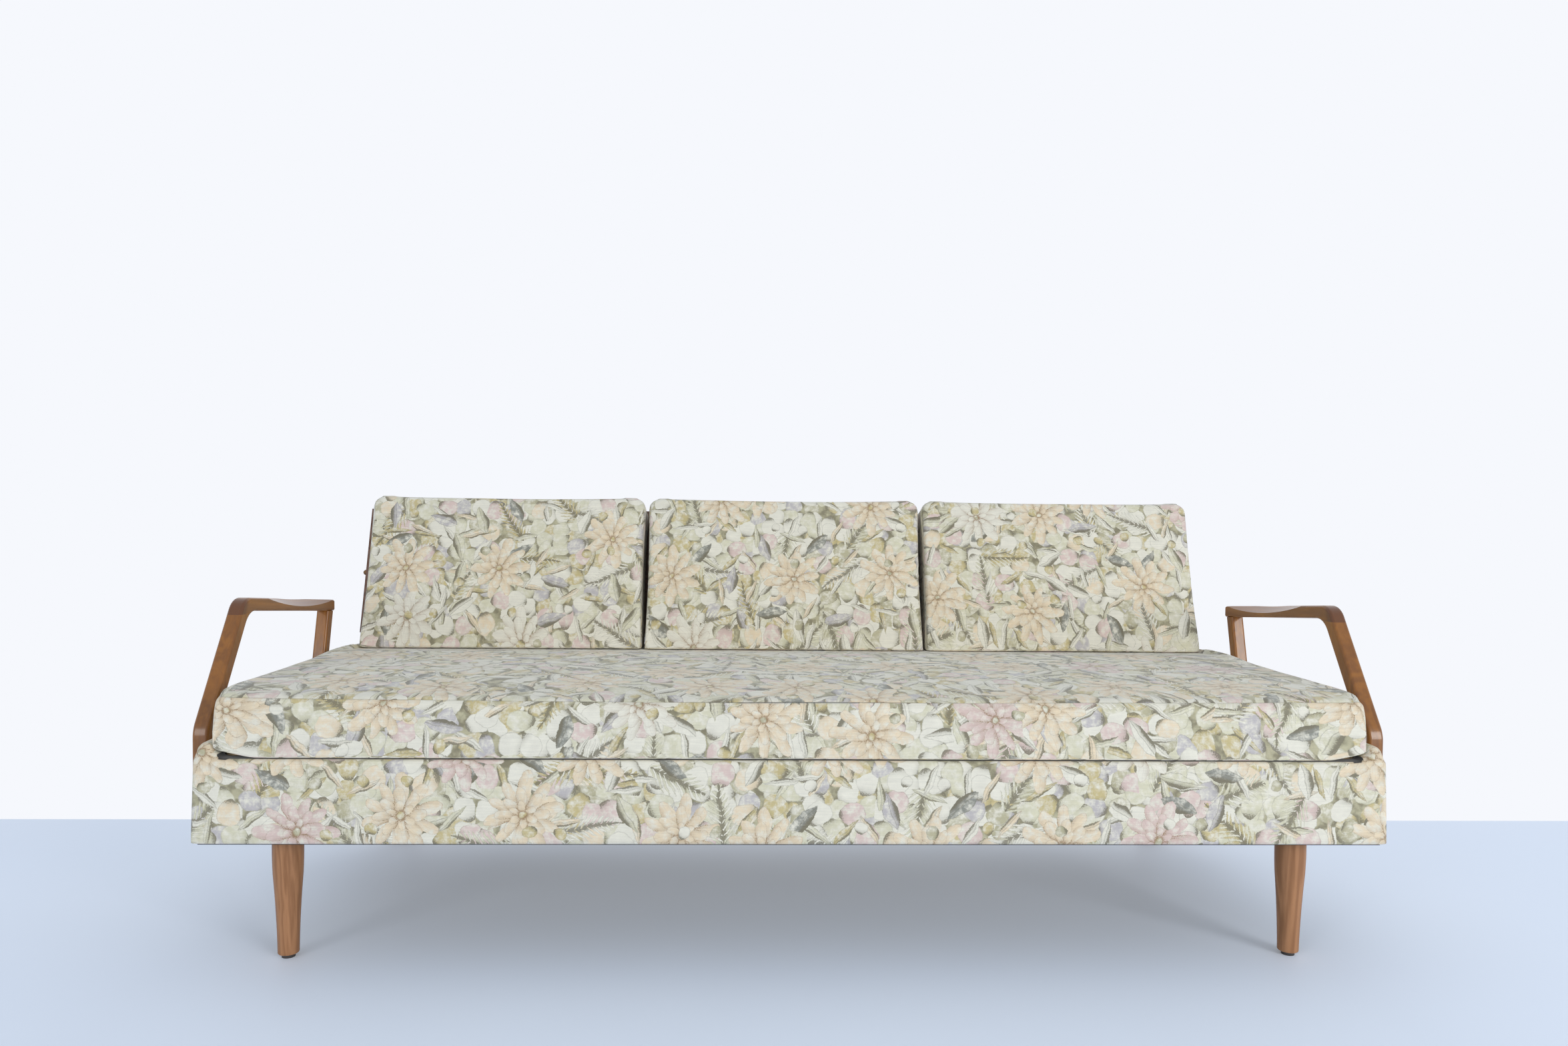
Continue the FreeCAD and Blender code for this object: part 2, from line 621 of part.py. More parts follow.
def make_arm(side):
    """Front post and armrest from one blank, parted at a level joint, and the rear post under the armrest."""
    low = low_corner(side, "half_width", "arm_thickness")
    outline = [
        ("post_setback", "arm_foot"), ("post_setback", "elbow_height"), ("rest_front", "rest_front_height"),
        ("rest_rear", "rest_rear_height"), ("rest_rear", "rest_rear_under"), ("inner_corner", "inner_height"),
        ("post_setback + post_depth", "elbow_height - post_depth * tan(post_rake / 2)"),
        ("post_setback + post_depth", "arm_foot"),
    ]
    body, feature = padded_outline(f"{side}_arm_blank", outline, "arm_thickness")
    rounds = [("elbow_round", 1), ("corner_round", 2), ("rest_end_round", 3), ("rest_end_round", 4),
              ("inner_round", 5), ("elbow_round", 6)]
    for radius, corner in rounds:
        test = through_corner(*outline[corner])
        feature = round_edges(body, feature, f"{side}_arm_corner_{corner}", radius, test)
    feature = round_edges(body, feature, f"{side}_arm_edges", "arm_edge_round", on_side_face)
    place(body, (low, "front_y", "0"))

    joint_run = ("arm_thickness", "inner_corner + inner_round", "rest_joint")
    below = box(f"{side}_below_joint", (low, "front_y", "0"), joint_run)
    keep = box(f"{side}_post_space", (low, "front_y", "0"), joint_run)
    mid = across(side, "half_width + arm_thickness / 2")
    joint_middle = "post_setback + post_run / 2 + (rest_joint - elbow_height) * tan(post_rake)"
    front_dowel = [mid, f"front_y + {joint_middle}", "rest_joint - dowel_reach"]
    rear_dowel = [mid, "front_y + (rear_top_front + rear_top_rear) / 2", "rear_top_height - dowel_reach"]
    dowel_length = "2 * dowel_reach"

    def dowel_hole(label, spot):
        return hole(label, spot, "+z", "dowel_radius", dowel_length)

    scoop = doc.addObject("Part::Cylinder", f"{side}_scoop")
    tilt = -SIDES[side] * math.degrees(math.atan(number("scoop_depth / arm_thickness")))
    level = FreeCAD.Rotation(FreeCAD.Vector(0, 1, 0), 90 + tilt)
    slope = FreeCAD.Rotation(FreeCAD.Vector(1, 0, 0), -number("rest_fall"))
    scoop.Placement.Rotation = slope.multiply(level)
    bind(scoop, Radius="scoop_radius", Height="6 * arm_thickness")
    scoop_y = "rest_rear - scoop_centre"
    top_there = "rest_rear_height + scoop_centre * tan(rest_fall)"
    outer_x = number(across(side, "half_width + arm_thickness"))
    edge = FreeCAD.Vector(outer_x, number(f"front_y + {scoop_y}"), number(top_there))
    along = scoop.Placement.Rotation.multVec(FreeCAD.Vector(0, 0, 1))
    lift = scoop.Placement.Rotation.multVec(FreeCAD.Vector(-1, 0, 0))
    centre = edge + lift * number("scoop_radius") - along * number("3 * arm_thickness")
    scoop.Placement.Base = centre

    post = doc.addObject("Part::Common", f"{side}_post_blank")
    post.Base = body
    post.Tool = keep
    label = f"{side}_arm_front_post"
    tools = arm_bolt_holes(side, label, ["front"]) + [dowel_hole(f"{label}_dowel_hole", front_dowel)]
    nodes.append(cut(label, post, tools))

    label = f"{side}_armrest"
    tools = [below, scoop, dowel_hole(f"{label}_front_dowel_hole", front_dowel),
             dowel_hole(f"{label}_rear_dowel_hole", rear_dowel)]
    nodes.append(cut(label, body, tools))

    label = f"{side}_arm_rear_post"
    rear_outline = [
        ("rear_foot - rear_run", "arm_foot"), ("rear_foot", "arm_foot"), ("rear_top_rear", "rear_top_height"),
        ("rear_top_front", "rear_top_height + (rear_top_rear - rear_top_front) * tan(rest_fall)"),
    ]
    rear, feature = padded_outline(f"{label}_blank", rear_outline, "arm_thickness")

    def long_edge(edge):
        return on_side_face(edge) and edge.BoundBox.ZLength > number("rear_top_height - arm_foot") / 2

    round_edges(rear, feature, f"{label}_edges", "arm_edge_round", long_edge)
    place(rear, (low, "front_y", "0"))
    tools = arm_bolt_holes(side, label, ["rear"]) + [dowel_hole(f"{label}_dowel_hole", rear_dowel)]
    nodes.append(cut(label, rear, tools))
    return [cylinder(f"{side}_{name}_dowel", spot, "+z", "dowel_radius", dowel_length)
            for name, spot in (("front", front_dowel), ("rear", rear_dowel))]


def make_arms():
    dowels = [dowel for side in SIDES for dowel in make_arm(side)]
    bolts = [
        bolt(f"{side}_{post}_arm_bolt_{step}", spot, direction, ARM_BOLT_LENGTH)
        for (side, post, step), (spot, direction) in arm_bolt_spots.items()
    ]
    nodes.append(group("arm_bolts", bolts))
    nodes.append(group("arm_dowels", dowels))


def make_uprights():
    """Uprights with rounded tops about the pivot axis, their bolts, and pivot bolts with domed knobs."""
    pivots = []
    for side in SIDES:
        low = low_corner(side, "upright_outer - upright_width", "upright_width")
        bar = box(f"{side}_upright_bar", (low, "rear_y", "upright_foot"),
                  ("upright_width", "upright_depth", "pivot_height - upright_foot"))
        top = cylinder(f"{side}_upright_top", (low, "pivot_y", "pivot_height"), "+x",
                       "upright_depth / 2", "upright_width")
        inwards = "-x" if side == "right" else "+x"
        outwards = "+x" if side == "right" else "-x"
        surface = (across(side, "frame_width / 2"), "pivot_y", "pivot_height")
        seat = hole(f"{side}_pivot_seat", (across(side, "upright_outer"), "pivot_y", "pivot_height"), inwards,
                    "pivot_radius", "pivot_reach")
        blank = fuse(f"{side}_upright_blank", [bar, top])
        tools = upright_bolt_holes(f"{side}_upright", [side]) + [seat]
        nodes.append(cut(f"{side}_back_upright", blank, tools))
        knob_spot = shifted(surface, outwards, "knob_gap")
        knob = cylinder(f"{side}_pivot_knob", knob_spot, outwards, "knob_radius", "knob_length")
        shank = cylinder(f"{side}_pivot_shank", knob_spot, inwards, "pivot_radius",
                         "knob_gap + stile_width + upright_gap + pivot_reach")
        dome = doc.addObject("Part::Ellipsoid", f"{side}_pivot_dome")
        dome.Placement = FreeCAD.Placement(FreeCAD.Vector(), TURNS[outwards])
        dome.Angle1 = 0
        bind(dome, Radius1="dome_height", Radius2="knob_radius", Radius3="knob_radius")
        place(dome, shifted(knob_spot, outwards, "knob_length"))
        pivots.append(fuse(f"{side}_pivot_bolt", [shank, knob, dome]))
    bolts = [
        bolt(f"{side}_upright_bolt_{step}", spot, "-y", UPRIGHT_BOLT_LENGTH)
        for (side, step), spot in upright_bolt_spots.items()
    ]
    nodes.append(group("upright_bolts", bolts))
    nodes.append(group("pivot_bolts", pivots))


def make_back():
    """The tilting back: a panel on two stiles, a top rail and a bottom rail that stops on the uprights."""
    count = int(number("panel_screw_count"))
    spread = f"(2 * stile_inner - stile_width) / {count - 1}"
    rail_low = {"top": "frame_top - frame_rail_height", "bottom": "frame_low"}
    rail_depth = {"top": "frame_rail_depth", "bottom": "stop_behind - panel_rear"}
    length = "panel_thickness + screw_reach"

    def leaning_cylinder(label, index, rail, behind, radius, long):
        """A cylinder square to the panel at one screw's place, running to the back."""
        piece = doc.addObject("Part::Cylinder", label)
        bind(piece, Radius=radius, Height=long)
        place_on_back(piece, f"(stile_width / 2 - stile_inner) + {index} * {spread}", behind,
                      f"{rail_low[rail]} + frame_rail_height / 2")
        piece.setExpression("Placement.Rotation.Angle", expand("-back_lean - 90"))
        return piece

    def leaning_holes(label, rails, radius, long):
        return [
            leaning_cylinder(f"{label}_{rail}_{index}", index, rail, "panel_front - hole_clearance",
                             f"{radius} + hole_clearance", f"{long} + 2 * hole_clearance")
            for rail in rails for index in range(count)
        ]

    def screw_holes(label, rails):
        return leaning_holes(f"{label}_screw_hole", rails, "screw_radius", length)

    panel = back_box("back_panel_blank", ("-frame_width / 2", "panel_front", "frame_low"),
                     ("frame_width", "panel_thickness", "frame_height"))
    head_seats = leaning_holes("screw_seat", rail_low, "screw_head_radius", "screw_head")
    nodes.append(cut("back_panel", panel, screw_holes("panel", rail_low) + head_seats))
    for rail in rail_low:
        blank = back_box(f"back_{rail}_rail_blank", ("-stile_inner", "panel_rear", rail_low[rail]),
                         ("2 * stile_inner", rail_depth[rail], "frame_rail_height"))
        nodes.append(cut(f"back_{rail}_rail", blank, screw_holes(rail, [rail])))
    for side in SIDES:
        blank = back_box(f"{side}_stile_blank",
                         (low_corner(side, "stile_inner", "stile_width"), "panel_rear", "frame_low"),
                         ("stile_width", "stile_depth", "frame_height"))
        start = (across(side, "stile_inner - upright_gap"), "pivot_y", "pivot_height")
        direction = "+x" if side == "right" else "-x"
        bore = cylinder(f"{side}_pivot_hole", start, direction, "pivot_radius + pivot_play",
                        "stile_width + 2 * upright_gap")
        nodes.append(cut(f"{side}_back_stile", blank, [bore]))
    screws = []
    for rail in rail_low:
        for index in range(count):
            shank = leaning_cylinder(f"{rail}_panel_shank_{index}", index, rail, "panel_front",
                                     "screw_radius", length)
            head = leaning_cylinder(f"{rail}_panel_head_{index}", index, rail, "panel_front",
                                    "screw_head_radius", "screw_head")
            screws.append(fuse(f"{rail}_panel_screw_{index}", [shank, head]))
    nodes.append(group("panel_screws", screws))


def soft_outline(left, right, near, far, radius, draw, level):
    """A closed wire at one level: four sides drawn in between four round corners."""
    def at(x, y):
        return FreeCAD.Vector(x, y, level)

    mid_x = (left + right) / 2
    mid_y = (near + far) / 2
    slant = radius * (1 - math.sqrt(0.5))
    sides = [
        (at(left + radius, near), at(mid_x, near + draw), at(right - radius, near)),
        (at(right - radius, near), at(right - slant, near + slant), at(right, near + radius)),
        (at(right, near + radius), at(right - draw, mid_y), at(right, far - radius)),
        (at(right, far - radius), at(right - slant, far - slant), at(right - radius, far)),
        (at(right - radius, far), at(mid_x, far - draw), at(left + radius, far)),
        (at(left + radius, far), at(left + slant, far - slant), at(left, far - radius)),
        (at(left, far - radius), at(left + draw, mid_y), at(left, near + radius)),
        (at(left, near + radius), at(left + slant, near + slant), at(left + radius, near)),
    ]
    return Part.Wire([Part.Arc(*points).toShape() for points in sides])


def make_mattress():
    """One boxed mattress: drawn in beside the rolls, round-edged on top, crowned ahead of the cushions."""
    half = number("mattress_half")
    front = number("front_y + mattress_edge_gap")
    rear = number("rear_y - mattress_edge_gap")
    bottom = number("slat_top + soft_gap")
    full = number("roll_top + roll_radius")
    seam = number("mattress_seam")
    rest = number("mattress_rest")
    crown = number("mattress_crown")
    tuck = number("mattress_tuck")
    edge = number("mattress_edge")
    slope = number("mattress_slope")
    corner = number("mattress_corner")
    draw = number("mattress_draw")
    under_cushions = rear - number("cushion_front_y")

    def above_rest(share, sides, ahead):
        """A level between the cushions' rest and the crown, which falls evenly towards the cushions."""
        return rest + (crown - rest) * share, sides, ahead, under_cushions + slope * share

    # height, inset at the sides, inset at the front, inset at the rear
    levels = [
        (bottom, tuck, tuck * 0.35, tuck * 0.35),
        (bottom + (full - bottom) * 0.2, tuck * 0.8, tuck * 0.15, tuck * 0.15),
        (full, 0, 0, 0),
        (seam - edge * 0.48, 0, 0, 0),
        (seam - edge * 0.18, edge * 0.05, edge * 0.04, edge * 0.04),
        (seam, edge * 0.12, edge * 0.2, edge * 0.2),
        above_rest(0, edge * 0.3, edge * 0.62),
        above_rest(0.4, edge * 0.52, edge * 1.3),
        above_rest(0.75, edge * 0.9, edge * 2.8),
        above_rest(0.9, edge * 2.4, edge * 5),
        above_rest(1, edge * 8, edge * 8),
    ]
    wires = [
        soft_outline(inset - half, half - inset, front + front_inset, rear - rear_inset, corner, draw, level)
        for level, inset, front_inset, rear_inset in levels
    ]
    mattress = doc.addObject("Part::Feature", "seat_mattress")
    mattress.Shape = Part.makeLoft(wires, True, True)
    nodes.append(mattress)


def make_cushions():
    """Back cushions on the panel: boxed, crowned in front, flat below where they rest on the mattress."""
    width = number("cushion_width")
    thickness = number("cushion_thickness")
    corner = number("cushion_corner")
    draw = number("cushion_draw")
    crown = number("cushion_crown")
    top = number("cushion_top")
    bottom = number("cushion_front_up - cushion_press")
    pitch = width + number("cushion_gap")
    count = len(CUSHION_NAMES)
    ease = corner / 2

    # distance from the rear face, inset all round
    levels = [
        (0, ease * 0.8), (ease * 0.3, ease * 0.25), (ease, 0), (thickness / 2, 1), (thickness - ease, 0),
        (thickness - ease * 0.35, ease * 0.25), (thickness, ease), (thickness + crown * 0.6, ease * 3),
        (thickness + crown, ease * 7),
    ]
    lean = FreeCAD.Rotation(FreeCAD.Vector(1, 0, 0), 90 - number("back_lean"))
    rear = number("panel_front - soft_gap")
    slope = math.radians(number("back_lean"))
    base_y = number("pivot_y") + rear * math.cos(slope)
    base_z = number("pivot_height") - rear * math.sin(slope)
    for index, name in enumerate(CUSHION_NAMES):
        middle = (index - (count - 1) / 2) * pitch
        wires = [
            soft_outline(middle - width / 2 + inset, middle + width / 2 - inset, bottom + inset, top - inset,
                         corner, draw, level)
            for level, inset in levels
        ]
        form = doc.addObject("Part::Feature", f"cushion_form_{name}")
        form.Shape = Part.makeLoft(wires, True, True)
        form.Placement = FreeCAD.Placement(FreeCAD.Vector(0, base_y, base_z), lean)
        below = box(f"below_cushion_{name}", ("-frame_width", "front_y", "0"),
                    ("2 * frame_width", "2 * base_depth", "mattress_rest + soft_gap"))
        nodes.append(cut(f"back_cushion_{name}", form, [below]))


# Where the cushions' front faces meet the mattress, from the same values as the cushions
derive("cushion_face", "panel_front - soft_gap - cushion_thickness")
derive("cushion_drop", "pivot_height - mattress_rest - soft_gap")
derive("cushion_front_up", "(cushion_face * sin(back_lean) - cushion_drop) / cos(back_lean)")
derive("cushion_front_y", "pivot_y + cushion_face * cos(back_lean) + cushion_front_up * sin(back_lean)")
doc.recompute()

make_rails()
make_slats()
make_covers()
make_legs()
make_arms()
make_uprights()
make_back()
make_mattress()
make_cushions()
doc.recompute()

for item in doc.Objects:
    if "Invalid" in item.State or "Error" in item.State:
        raise RuntimeError(f"{item.Label} failed: {item.State}")
for node in nodes:
    if node.Shape.isNull() or not node.Shape.isValid() or not node.Shape.Solids:
        raise RuntimeError(f"{node.Label} has no valid solid")

os.makedirs("parts", exist_ok=True)
for node in nodes:
    node.Shape.exportStep(os.path.join("parts", f"{node.Label}.step"))
print(len(nodes), "nodes written")
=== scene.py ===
"""Daybed sofa: the cloth, padding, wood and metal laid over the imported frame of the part."""
import json
import math

import bmesh
import bpy
import numpy as np
from mathutils import Matrix, Vector, noise


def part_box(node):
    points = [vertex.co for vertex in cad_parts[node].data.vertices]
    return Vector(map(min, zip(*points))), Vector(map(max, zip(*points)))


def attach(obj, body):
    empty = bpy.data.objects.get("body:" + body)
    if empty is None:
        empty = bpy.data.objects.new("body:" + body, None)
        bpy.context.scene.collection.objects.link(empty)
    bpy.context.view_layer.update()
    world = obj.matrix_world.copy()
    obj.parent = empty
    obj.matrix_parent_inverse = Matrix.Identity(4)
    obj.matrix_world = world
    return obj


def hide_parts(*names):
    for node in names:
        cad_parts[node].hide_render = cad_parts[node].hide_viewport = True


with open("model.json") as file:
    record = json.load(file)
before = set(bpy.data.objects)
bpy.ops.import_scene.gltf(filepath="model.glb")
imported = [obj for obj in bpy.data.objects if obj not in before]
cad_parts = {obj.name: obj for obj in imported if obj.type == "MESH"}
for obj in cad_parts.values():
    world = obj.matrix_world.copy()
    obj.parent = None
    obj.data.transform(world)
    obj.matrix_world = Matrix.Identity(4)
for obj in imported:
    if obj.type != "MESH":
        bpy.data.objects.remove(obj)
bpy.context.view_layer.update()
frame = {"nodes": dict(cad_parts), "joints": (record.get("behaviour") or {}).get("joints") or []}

bl_info = {
    "name": "Daybed sofa",
    "version": (1, 0, 0),
    "blender": (4, 5, 0),
    "location": "View3D > Sidebar > Daybed",
    "description": "Printed cloth, padding, wood and fittings of a daybed sofa",
    "category": "Object",
}

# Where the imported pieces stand, in metres
BASE_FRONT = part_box("front_cover")[0].y
BASE_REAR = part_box("rear_cover")[1].y
BASE_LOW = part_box("front_cover")[0].z
RAIL_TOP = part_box("front_cover")[1].z
HALF_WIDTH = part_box("right_side_cover")[1].x
ROLL_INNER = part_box("right_side_cover")[0].x
ROLL_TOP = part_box("right_side_cover")[1].z
ROLL_RADIUS = (HALF_WIDTH - ROLL_INNER) / 2
ROLL_MIDDLE = Vector((HALF_WIDTH - ROLL_RADIUS, 0, ROLL_TOP - ROLL_RADIUS))
MATTRESS_LOW, MATTRESS_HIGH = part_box("seat_mattress")
MATTRESS_SEAM = MATTRESS_HIGH.z - 0.0145  # the top panel is sewn on this far below the top
CUSHION_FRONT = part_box("back_cushion_centre")[0].y
CUSHION_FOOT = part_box("back_cushion_centre")[0].z
CUSHION_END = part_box("back_cushion_right")[1].x
CUSHION_REST = CUSHION_FOOT - 0.004  # the cushions press this far into the mattress
DUST_LOW, DUST_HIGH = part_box("dust_cover")
PIVOT = Vector(next(joint["pos_m"] for joint in frame["joints"] if joint["name"] == "back_tilt"))
LIFT = Vector(next(joint["axis"] for joint in frame["joints"] if joint["name"] == "centre_cushion_lift"))
LEAN = math.atan2(LIFT.y, LIFT.z)

POST_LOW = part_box("left_arm_front_post")[0]
ARMREST_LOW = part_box("left_armrest")[0]
# How far an arm's front leans back per metre of height, and where its line meets the floor
ARM_RAKE = (ARMREST_LOW.y - POST_LOW.y) / (ARMREST_LOW.z - POST_LOW.z)
ARM_FRONT = POST_LOW.y - ARM_RAKE * POST_LOW.z

ARMRESTS = ["left_armrest", "right_armrest"]
CUSHIONS = {"left": "left_cushion", "centre": "centre_cushion", "right": "right_cushion"}
WOODEN_NODES = {
    "arm_wood": {
        "y": ARMRESTS,
        "z": ["left_arm_front_post", "right_arm_front_post", "left_arm_rear_post", "right_arm_rear_post"],
    },
    "leg_wood": {"z": ["left_front_leg", "right_front_leg", "left_rear_leg", "right_rear_leg"]},
    "back_wood": {
        "x": ["back_panel", "back_top_rail", "back_bottom_rail"],
        "z": ["left_back_stile", "right_back_stile", "left_back_upright", "right_back_upright"],
    },
    "frame_wood": {
        "x": ["front_rail", "rear_rail", "front_slat_ledge", "rear_slat_ledge", "centre_beam", "arm_dowels"],
        "y": ["left_side_rail", "right_side_rail", "seat_slats"],
        "z": ["corner_blocks"],
    },
}
STEEL_NODES = ["arm_bolts", "upright_bolts", "panel_screws", "plate_screws", "leg_studs", "leg_plates"]

# Sewing and swelling: points closer than SAME_PLACE are one, and a seam draws the cloth in over SEAM_REACH
SAME_PLACE = 1e-5
SEAM_REACH = 0.0035
CLOTH_QUALITY = 4
CLOTH_PRESSURE = 4
CLOTH_FRAMES = 20
CLOTH_SLOT = "upholstery_cloth"

FLOAT = "NodeSocketFloat"
VECTOR = "NodeSocketVector"
COLOUR = "NodeSocketColor"

# Stage: half the floor's width, the backdrop's height, where the lamps stand and how large they are
STAGE_HALF = 9
BACKDROP_HEIGHT = 6.0
LAMPS = {"key": ((3.6, -4.5, 1.65), 2.1), "fill": ((-3.3, -4.5, 1.43), 1.8), "rear": ((0.5, 3.2, 2.8), 2.6)}
LAMP_AIM = Vector((0, 0, 0.45))
# Camera: millimetres, shares of the picture's width, metres and degrees
SENSOR_WIDTH = 36
LENS_LENGTH = 23.74
LENS_SHIFT = (0.0081, 0.0228)
CAMERA_PLACE = (-0.0944, -2.0448, 0.7117)
CAMERA_TURNS = {"Z": -1.65, "X": -1.86, "Y": -0.54}


def display(red, green, blue):
    """A colour as it shows on a screen, 0 to 255, in the linear values that Blender works with."""
    shares = (level / 255 for level in (red, green, blue))
    return tuple(s / 12.92 if s <= 0.04045 else ((s + 0.055) / 1.055) ** 2.4 for s in shares)


def colour_property(name, description, red, green, blue):
    return bpy.props.FloatVectorProperty(
        name=name, description=description, subtype="COLOR", size=3, min=0, max=1,
        default=display(red, green, blue))


def length_property(name, description, default):
    return bpy.props.FloatProperty(
        name=name, description=description, default=default, min=0, subtype="DISTANCE", unit="LENGTH")


class ClothSettings(bpy.types.PropertyGroup):
    """Colours and scale of the printed cloth."""
    ground: colour_property("Ground", "Cloth that shows between the motifs", 136, 129, 104)
    sage: colour_property("Sage", "Pale green petals and leaves", 213, 208, 180)
    cream: colour_property("Cream", "Palest petals", 229, 224, 207)
    moss: colour_property("Moss", "Deeper green leaves and sprigs", 186, 179, 147)
    ochre: colour_property("Ochre", "Berries and dry petals", 200, 184, 134)
    peach: colour_property("Peach", "Blossoms", 228, 210, 179)
    pink: colour_property("Dusty pink", "Round petals", 217, 194, 184)
    lavender: colour_property("Lavender grey", "Shaded petals", 190, 184, 182)
    slate: colour_property("Grey green", "Darkest leaves", 141, 141, 131)
    # Ink also gives the painted shade along the seams
    ink: colour_property("Ink", "Outlines and shading of leaves and petals", 123, 116, 95)
    bark: colour_property("Bark", "Outlines and shading of the blossoms", 152, 122, 88)
    # Painted shade: a dark colour on the base's top under the mattress's front edge, where the mattress
    # shades it
    lining: colour_property("Lining", "Dark cloth on the base under the mattress", 52, 48, 44)
    motif_scale: bpy.props.FloatProperty(
        name="Motif scale", description="Size of the printed motifs", default=1.0, min=0.2, max=4)
    thread: length_property("Thread", "Spacing of the woven ribs", 0.0011)


class WoodSettings(bpy.types.PropertyGroup):
    """Colours of the wood."""
    arm_light: colour_property("Arm light", "Light grain of the arms", 150, 94, 26)
    arm_end: colour_property("Arm end", "End grain at the front of the armrests", 100, 56, 19)
    arm_dark: colour_property("Arm dark", "Dark grain of the arms", 117, 69, 18)
    leg_light: colour_property("Leg light", "Light grain of the legs", 180, 130, 90)
    leg_dark: colour_property("Leg dark", "Dark grain of the legs", 138, 94, 60)
    back_light: colour_property("Back light", "Light grain of the back", 128, 94, 76)
    back_dark: colour_property("Back dark", "Dark grain of the back", 88, 64, 52)
    frame_light: colour_property("Frame light", "Light grain of the inner frame", 214, 186, 142)
    frame_dark: colour_property("Frame dark", "Dark grain of the inner frame", 184, 150, 106)


class PaddingSettings(bpy.types.PropertyGroup):
    """Sizes of the padding."""
    mattress_mesh: length_property("Mattress mesh", "Mesh spacing of the mattress before it swells", 0.012)
    mattress_swell: length_property("Mattress swell", "Most that the mattress swells", 0.009)
    mattress_sag: length_property("Mattress sag", "Drop of the front edge in the middle", 0.0045)
    cushion_mesh: length_property("Cushion mesh", "Mesh spacing of a cushion before it swells", 0.007)
    cushion_swell: length_property("Cushion swell", "Most that a cushion swells", 0.010)
    slack: length_property("Slack", "How much smaller a pad is before it swells", 0.005)
    seam_inset: length_property("Seam inset", "Cushion seams inside their outline", 0.0035)
    seam_depth: length_property("Seam depth", "How far a seam draws the cloth in", 0.0014)
    cover_mesh: length_property("Cover mesh", "Mesh spacing of the base's cover", 0.005)
    cover_padding: length_property("Cover padding", "Padding and cloth on the base", 0.0065)


class StageSettings(bpy.types.PropertyGroup):
    """Floor, backdrop and light."""
    floor: colour_property("Floor", "Colour of the floor", 226, 237, 254)
    floor_lift: colour_property("Floor lift", "Light that the camera sees all over the floor", 102, 102, 100)
    backdrop: colour_property("Backdrop", "Colour behind the sofa", 246, 248, 253)
    backdrop_place: length_property("Backdrop place", "How far behind the middle the backdrop stands", 0.64)
    cove_place: length_property("Cove place", "How far behind the middle the floor ends at the cove", 0.429)
    cove_height: length_property("Cove height", "Height at which the cove meets the backdrop", 0.3)
    key: bpy.props.FloatProperty(name="Key", description="Light from the right", default=130, unit="POWER")
    fill: bpy.props.FloatProperty(name="Fill", description="Light from the left", default=50, unit="POWER")
    rear: bpy.props.FloatProperty(name="Rear", description="Light from behind", default=22, unit="POWER")
    lamp_tint: colour_property("Lamp tint", "Colour of the lamps", 255, 253, 250)
    sky_tint: colour_property("Sky tint", "Colour of the even light", 230, 241, 255)
    sky: bpy.props.FloatProperty(name="Sky", description="Even light from all round", default=0.6, min=0)


class Term:
    """One number in a node tree. Reckoning with it adds Math nodes to the tree."""

    def __init__(self, graph, socket):
        self.graph = graph
        self.socket = socket

    def __add__(self, other):
        return self.graph.math("ADD", self, other)

    def __sub__(self, other):
        return self.graph.math("SUBTRACT", self, other)

    def __rsub__(self, other):
        return self.graph.math("SUBTRACT", other, self)

    def __mul__(self, other):
        return self.graph.math("MULTIPLY", self, other)

    def __truediv__(self, other):
        return self.graph.math("DIVIDE", self, other)

    def __rtruediv__(self, other):
        return self.graph.math("DIVIDE", other, self)

    def __abs__(self):
        return self.graph.math("ABSOLUTE", self)


